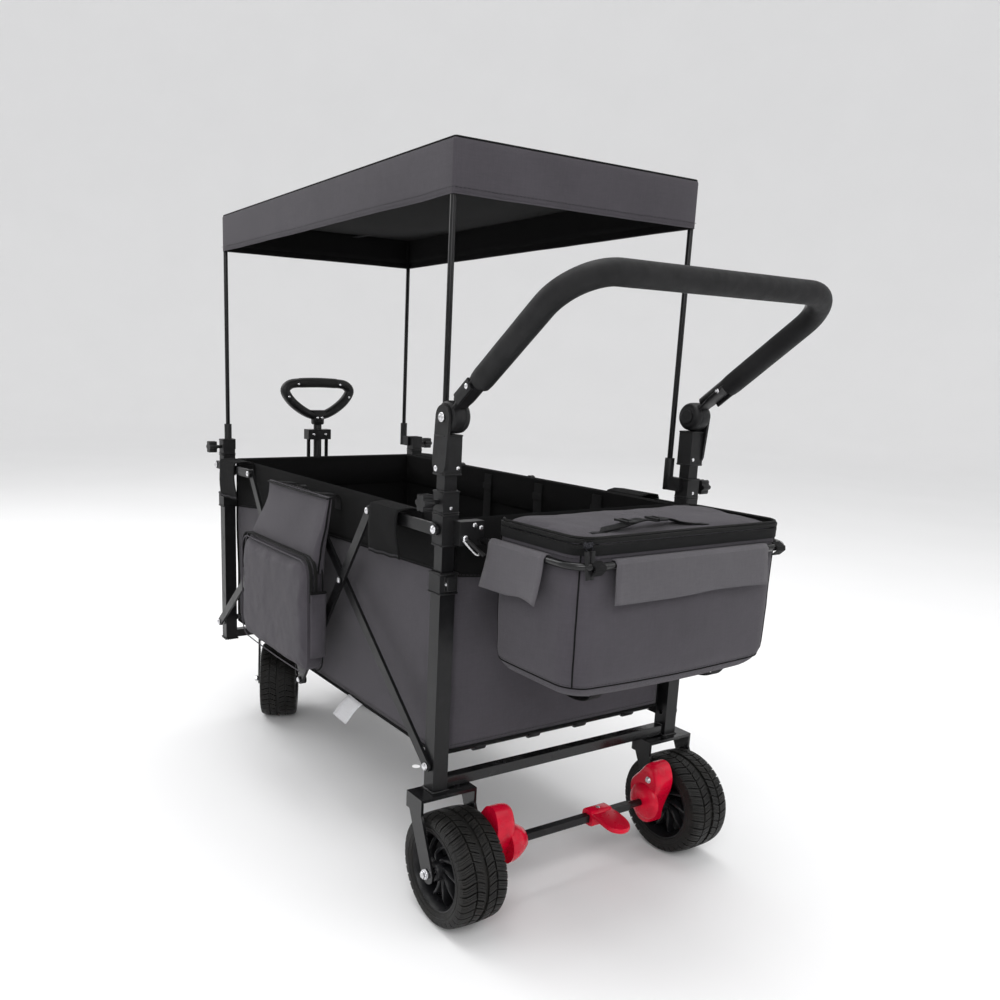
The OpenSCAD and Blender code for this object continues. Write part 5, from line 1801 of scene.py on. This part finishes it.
@dataclass
class Chassis:
    """The steel and plastic parts that the CAD model already shapes: finishes, rounded edges, welds and bolts."""

    posts: Posts
    edge: float = 0.0011

    def dress(self) -> None:
        """Give every CAD node that still shows its finish and rounded edges."""
        looks: dict[str, Finish] = {
            "frame_paint": FRAME_PAINT, "fitting_plastic": FITTING, "rim_plastic": RIM, "tyre": TYRE,
            "bright_steel": BRIGHT, "brake_red": RED, "foam": FOAM, "grey_cloth": GREY_CLOTH,
            "black_cloth": BLACK_CLOTH}
        slots = {s["node"]: s["material_slot"] for s in frame["record"]["subparts"]}
        glossy = {"rear_forks", "caster_fork_left", "caster_fork_right", "rear_crossbars", "front_crossbars",
                  "basket_frame"}
        for name, node in frame["nodes"].items():
            if node.hide_render:  # a detailed piece stands for it
                continue
            finish = FORK_PAINT if name in glossy else looks[slots[name]]
            node.data.materials.clear()
            node.data.materials.append(finish.material())
            weld = node.modifiers.new("joined", "WELD")
            weld.merge_threshold = 0.00002
            flat = node.modifiers.new("flats", "DECIMATE")
            flat.decimate_type, flat.angle_limit = "DISSOLVE", math.radians(1.0)
            width = self.edge * (1.8 if name.endswith(("collars", "brackets", "clamps")) else 1.0)
            soften(node, width)
            log.info("%s dressed in %s", name, finish.name)

    def build_welds(self) -> None:
        """Lay weld beads round the post feet and the crossbars' ends."""
        for body, sx in (("rear_frame", -1), ("front_frame", 1)):
            skin = Skin()
            x = sx * self.posts.x
            for s in (1, -1):
                half, foot_z = 0.0155, 0.2258
                foot = [Vector((x + half * a, s * self.posts.y + half * b, foot_z)) for a, b in
                        ((1, 1), (-1, 1), (-1, -1), (1, -1), (1, 1))]
                ring: Ring = []
                for a, b in zip(foot, foot[1:]):
                    ring += line(a, b, 12)[:-1]
                ring = [p + Vector((0.0006 * math.sin(i * 2.1), 0.0006 * math.cos(i * 1.7),
                                    0.0008 * math.sin(i * 2.6))) for i, p in enumerate(ring)]
                skin.bar(ring, lambda t: circle(0.0026 + 0.0004 * math.sin(t * 190), 8), loop=True)
                y = s * (self.posts.y - 0.0158)
                for dz in (-0.0102, 0.0102):
                    seam = [Vector((x - 0.01 + 0.02 * i / 10, y, 0.237 + dz + 0.0004 * math.sin(i * 2)))
                            for i in range(11)]
                    skin.tube(seam, 0.0018, 6)
            skin.piece(f"{body}_welds", (FORK_PAINT,), body, "frame_paint", sharp=60)

    def build_caps(self) -> None:
        """Make the moulded ribs and lips on the post collars, sleeves and clamps."""
        both = (0.5835, 0.6165, 0.6645, 0.7155, 0.719, 0.7535)
        for body, sx, tops in (("rear_frame", -1, both + (0.782, 0.8445)), ("front_frame", 1, both)):
            skin = Skin()
            for s in (1, -1):
                for z in tops:
                    w = 0.0378 if z < 0.62 else 0.033 if z < 0.76 else 0.035
                    ring = [Vector((sx * self.posts.x + a, s * self.posts.y + b, z))
                            for a, b in rounded(w, w, 0.004, 3)]
                    skin.tube(ring, 0.0014, 6, loop=True)
            skin.piece(f"{body}_lips", (FITTING,), body, "fitting_plastic", sharp=60)

    def bolts(self, fix: Fasteners) -> None:
        """Place the fasteners that show."""
        px, py = self.posts.x, self.posts.y
        rail, cross = self.posts.rail, (0.1903, 0.5365)
        handle = PushHandle()
        for s in (1, -1):
            out = Y * s
            for body, x in (("rear_frame", -px), ("front_frame", px)):
                # the links' outer pins, the collars' screws and the rivets at the rail
                reach, ahead = (0.3073, -1) if x < 0 else (0.3137, 1)
                fix.add(body, Head.DOME, (x, s * reach, 0.272), out, 0.0062)
                fix.add(body, Head.DOME, (x, s * reach, rail), out, 0.0052)
                fix.add(body, Head.PAN, (x + ahead * 0.021, s * (py + 0.0082), 0.601), out, 0.0032)
                for dx in (-0.008, 0.008):
                    fix.add(body, Head.DOME, (x + dx, s * (py - 0.0157), 0.70), -out, 0.003)
                fix.add(body, Head.PAN, (x + ahead * 0.016, s * py, 0.727), X * ahead, 0.003)
            # the push handle's hinge pin and its bracket's rivets
            fix.add("rear_frame", Head.DOME, (-0.522, s * 0.3029, 0.874), out, 0.0052)
            fix.add("rear_frame", Head.DOME, (-px + 0.0075, s * 0.2995, 0.7905), out, 0.0052)
            fix.add("rear_frame", Head.DOME, (-px - 0.0172, s * (py - 0.0095), 0.7925), -X, 0.0034)
            # the crossing pins of the side linkage
            for body, x, z, radius in (("rear_lower_links", -cross[0], cross[1], 0.0058),
                                       ("rear_lower_links", 0, rail, 0.0062),
                                       ("front_lower_links", cross[0], cross[1], 0.0058),
                                       ("rear_upper_links", -0.301, rail, 0.0062),
                                       ("rear_upper_links", 0, 0.271, 0.0058)):
                fix.add(body, Head.DOME, (x, s * 0.3138, z), out, radius)
            fix.add("front_rail_arms", Head.DOME, (0.301, s * 0.3107, rail), out, 0.0062)
            # the rear axles' nuts and the brake covers' bolts
            fix.add("rear_frame", Head.HEX, (-0.570, s * (0.271 + 0.063), 0.1), out, 0.0068)
            fix.add("rear_frame", Head.HEX, (-0.570, s * (0.271 - 0.0582), 0.1), -out, 0.0055)
            fix.add("rear_frame", Head.HEX, (-0.588, s * 0.1712, 0.172), -out, 0.0052)
            for shift, way, radius in ((0.0192, out, 0.0046), (-0.0182, -out, 0.0042)):
                seat = handle.at(0.070, s * (handle.arm_y + shift), handle.lift)
                fix.add("push_handle", Head.DOME, seat, way, radius)
            for y, z in ((0.2475, 0.7005), (0.2345, 0.6955)):
                fix.add("rear_frame", Head.DOME, (-0.5521, s * y, z), -X, 0.0042)
        # the pull handle's screws, the pedal's and the front axles' nuts
        for y in (-0.012, 0.012):
            fix.add("pull_stem", Head.PAN, (0.5575, y * 0.55, 0.806), -X, 0.0034)
            fix.add("pull_handle", Head.PAN, (0.557, y * 1.5, 0.7605), -X, 0.0038)
        for y, z in ((-0.062, 0.896), (0.062, 0.896), (-0.090, 0.862), (0.090, 0.862)):
            fix.add("pull_stem", Head.PAN, (0.5592, y, z), -X, 0.0033)
        fix.add("brake", Head.PAN, (-0.580, Brake.pedal_y, 0.1392), Z, 0.0045)
        ahead, way = (Matrix.Rotation(CASTER_YAW, 3, "Z") @ axis for axis in (X, Y))
        for body, s in (("caster_left", 1), ("caster_right", -1)):
            hub = Vector((px, s * 0.135, 0.1)) - ahead * 0.04
            for k in (1, -1):
                fix.add(body, Head.HEX, hub + way * k * 0.062, way * k, 0.0075)

    def build(self) -> None:
        """Add the small parts and dress what the CAD model shapes."""
        fix = Fasteners()
        self.bolts(fix)
        fix.build()
        self.build_welds()
        self.build_caps()
        self.dress()


# ---------------------------------------------------------------- studio


@dataclass
class Studio:
    """A pale ground that curves up all round, soft lights and the camera."""

    eye: tuple[float, float, float] = (-1.7743, 1.1117, 0.9510)
    yaw: float = -0.5547
    pitch: float = 0.2202
    roll: float = 0.0313
    lens: float = 33.18
    shift: tuple[float, float] = (0.0821, 0.0733)
    aim: tuple[float, float, float] = (0.0, 0.0, 0.5)

    def build_ground(self) -> None:
        """Make the ground as one wide bowl."""
        flat, bend, hole, gap = 9.0, 4.0, 0.01, 0.0006
        profile = [(0.0, 0.0), (3.0, 0.0), (6.0, 0.0), (flat, 0.0)]
        profile += [(flat + bend * math.sin(a * math.pi / 16), bend - bend * math.cos(a * math.pi / 16))
                    for a in range(1, 9)]
        profile += [(flat + bend, 7.0)]
        rows = [[Vector((a, b, z - gap)) for a, b in circle(r + hole, ROUND)] for r, z in profile]
        ground = place("ground", Skin().rows(rows[::-1], wrap=True).mesh("ground", (GROUND,), 180, fix=False))

    def light(self, name: str, at: Sequence[float], size: float, power: float) -> None:
        """Hang one large soft light that faces the wagon's middle.

        Args:
            name: Its name.
            at: Its place.
            size: Its width and height.
            power: Its strength in watts.
        """
        lamp = bpy.data.lights.new(name, "AREA")
        lamp.shape, lamp.size, lamp.energy = "SQUARE", size, power
        thing = place(name, lamp)
        thing.location = at
        thing.rotation_euler = (Vector(self.aim) - Vector(at)).to_track_quat("-Z", "Y").to_euler()

    def build_camera(self) -> None:
        """Place the camera and make it the scene's."""
        data = bpy.data.cameras.new("camera")
        data.lens, data.sensor_width = self.lens, 36.0
        data.shift_x, data.shift_y = self.shift
        data.clip_start, data.clip_end = 0.05, 60.0
        camera = place("camera", data)
        ahead = Vector((math.cos(self.yaw) * math.cos(self.pitch), math.sin(self.yaw) * math.cos(self.pitch),
                        -math.sin(self.pitch)))
        right = ahead.cross(Z).normalized()
        up = right.cross(ahead)
        tilted = right * math.cos(self.roll) + up * math.sin(self.roll)
        lifted = up * math.cos(self.roll) - right * math.sin(self.roll)
        columns = [tilted, lifted, -ahead, Vector(self.eye)]
        camera.matrix_world = Matrix([[c[i] for c in columns] for i in range(3)] + [(0, 0, 0, 1)])
        bpy.context.scene.camera = camera

    def build(self) -> None:
        """Set the whole studio up."""
        self.build_camera()
        self.build_ground()
        world = bpy.data.worlds.new("studio")
        world.use_nodes = True
        world.node_tree.nodes["Background"].inputs["Color"].default_value = (1.0, 1.0, 1.0, 1.0)
        world.node_tree.nodes["Background"].inputs["Strength"].default_value = 0.8
        bpy.context.scene.world = world
        bpy.context.scene.view_settings.view_transform = "Standard"
        self.light("key", (-3.4, 2.6, 3.2), 2.2, 60)
        self.light("fill", (-3.6, -2.2, 2.6), 2.6, 22)
        self.light("rim", (3.2, 1.8, 3.2), 2.4, 45)
        self.light("top", (0, 0, 4.6), 3.0, 95)


def main() -> None:
    """Build the wagon's look piece by piece."""
    logging.basicConfig(level=logging.INFO, format="%(message)s")
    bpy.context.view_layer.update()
    posts = Posts.measured()
    Studio().build()
    Canopy(posts).build()
    Tub(posts).build()
    SideBag(posts).build()
    Basket().build()
    Wheel().build()
    PushHandle().build()
    PullGrip().build()
    Brake().build()
    Chassis(posts).build()


if __name__ == "__main__":
    main()
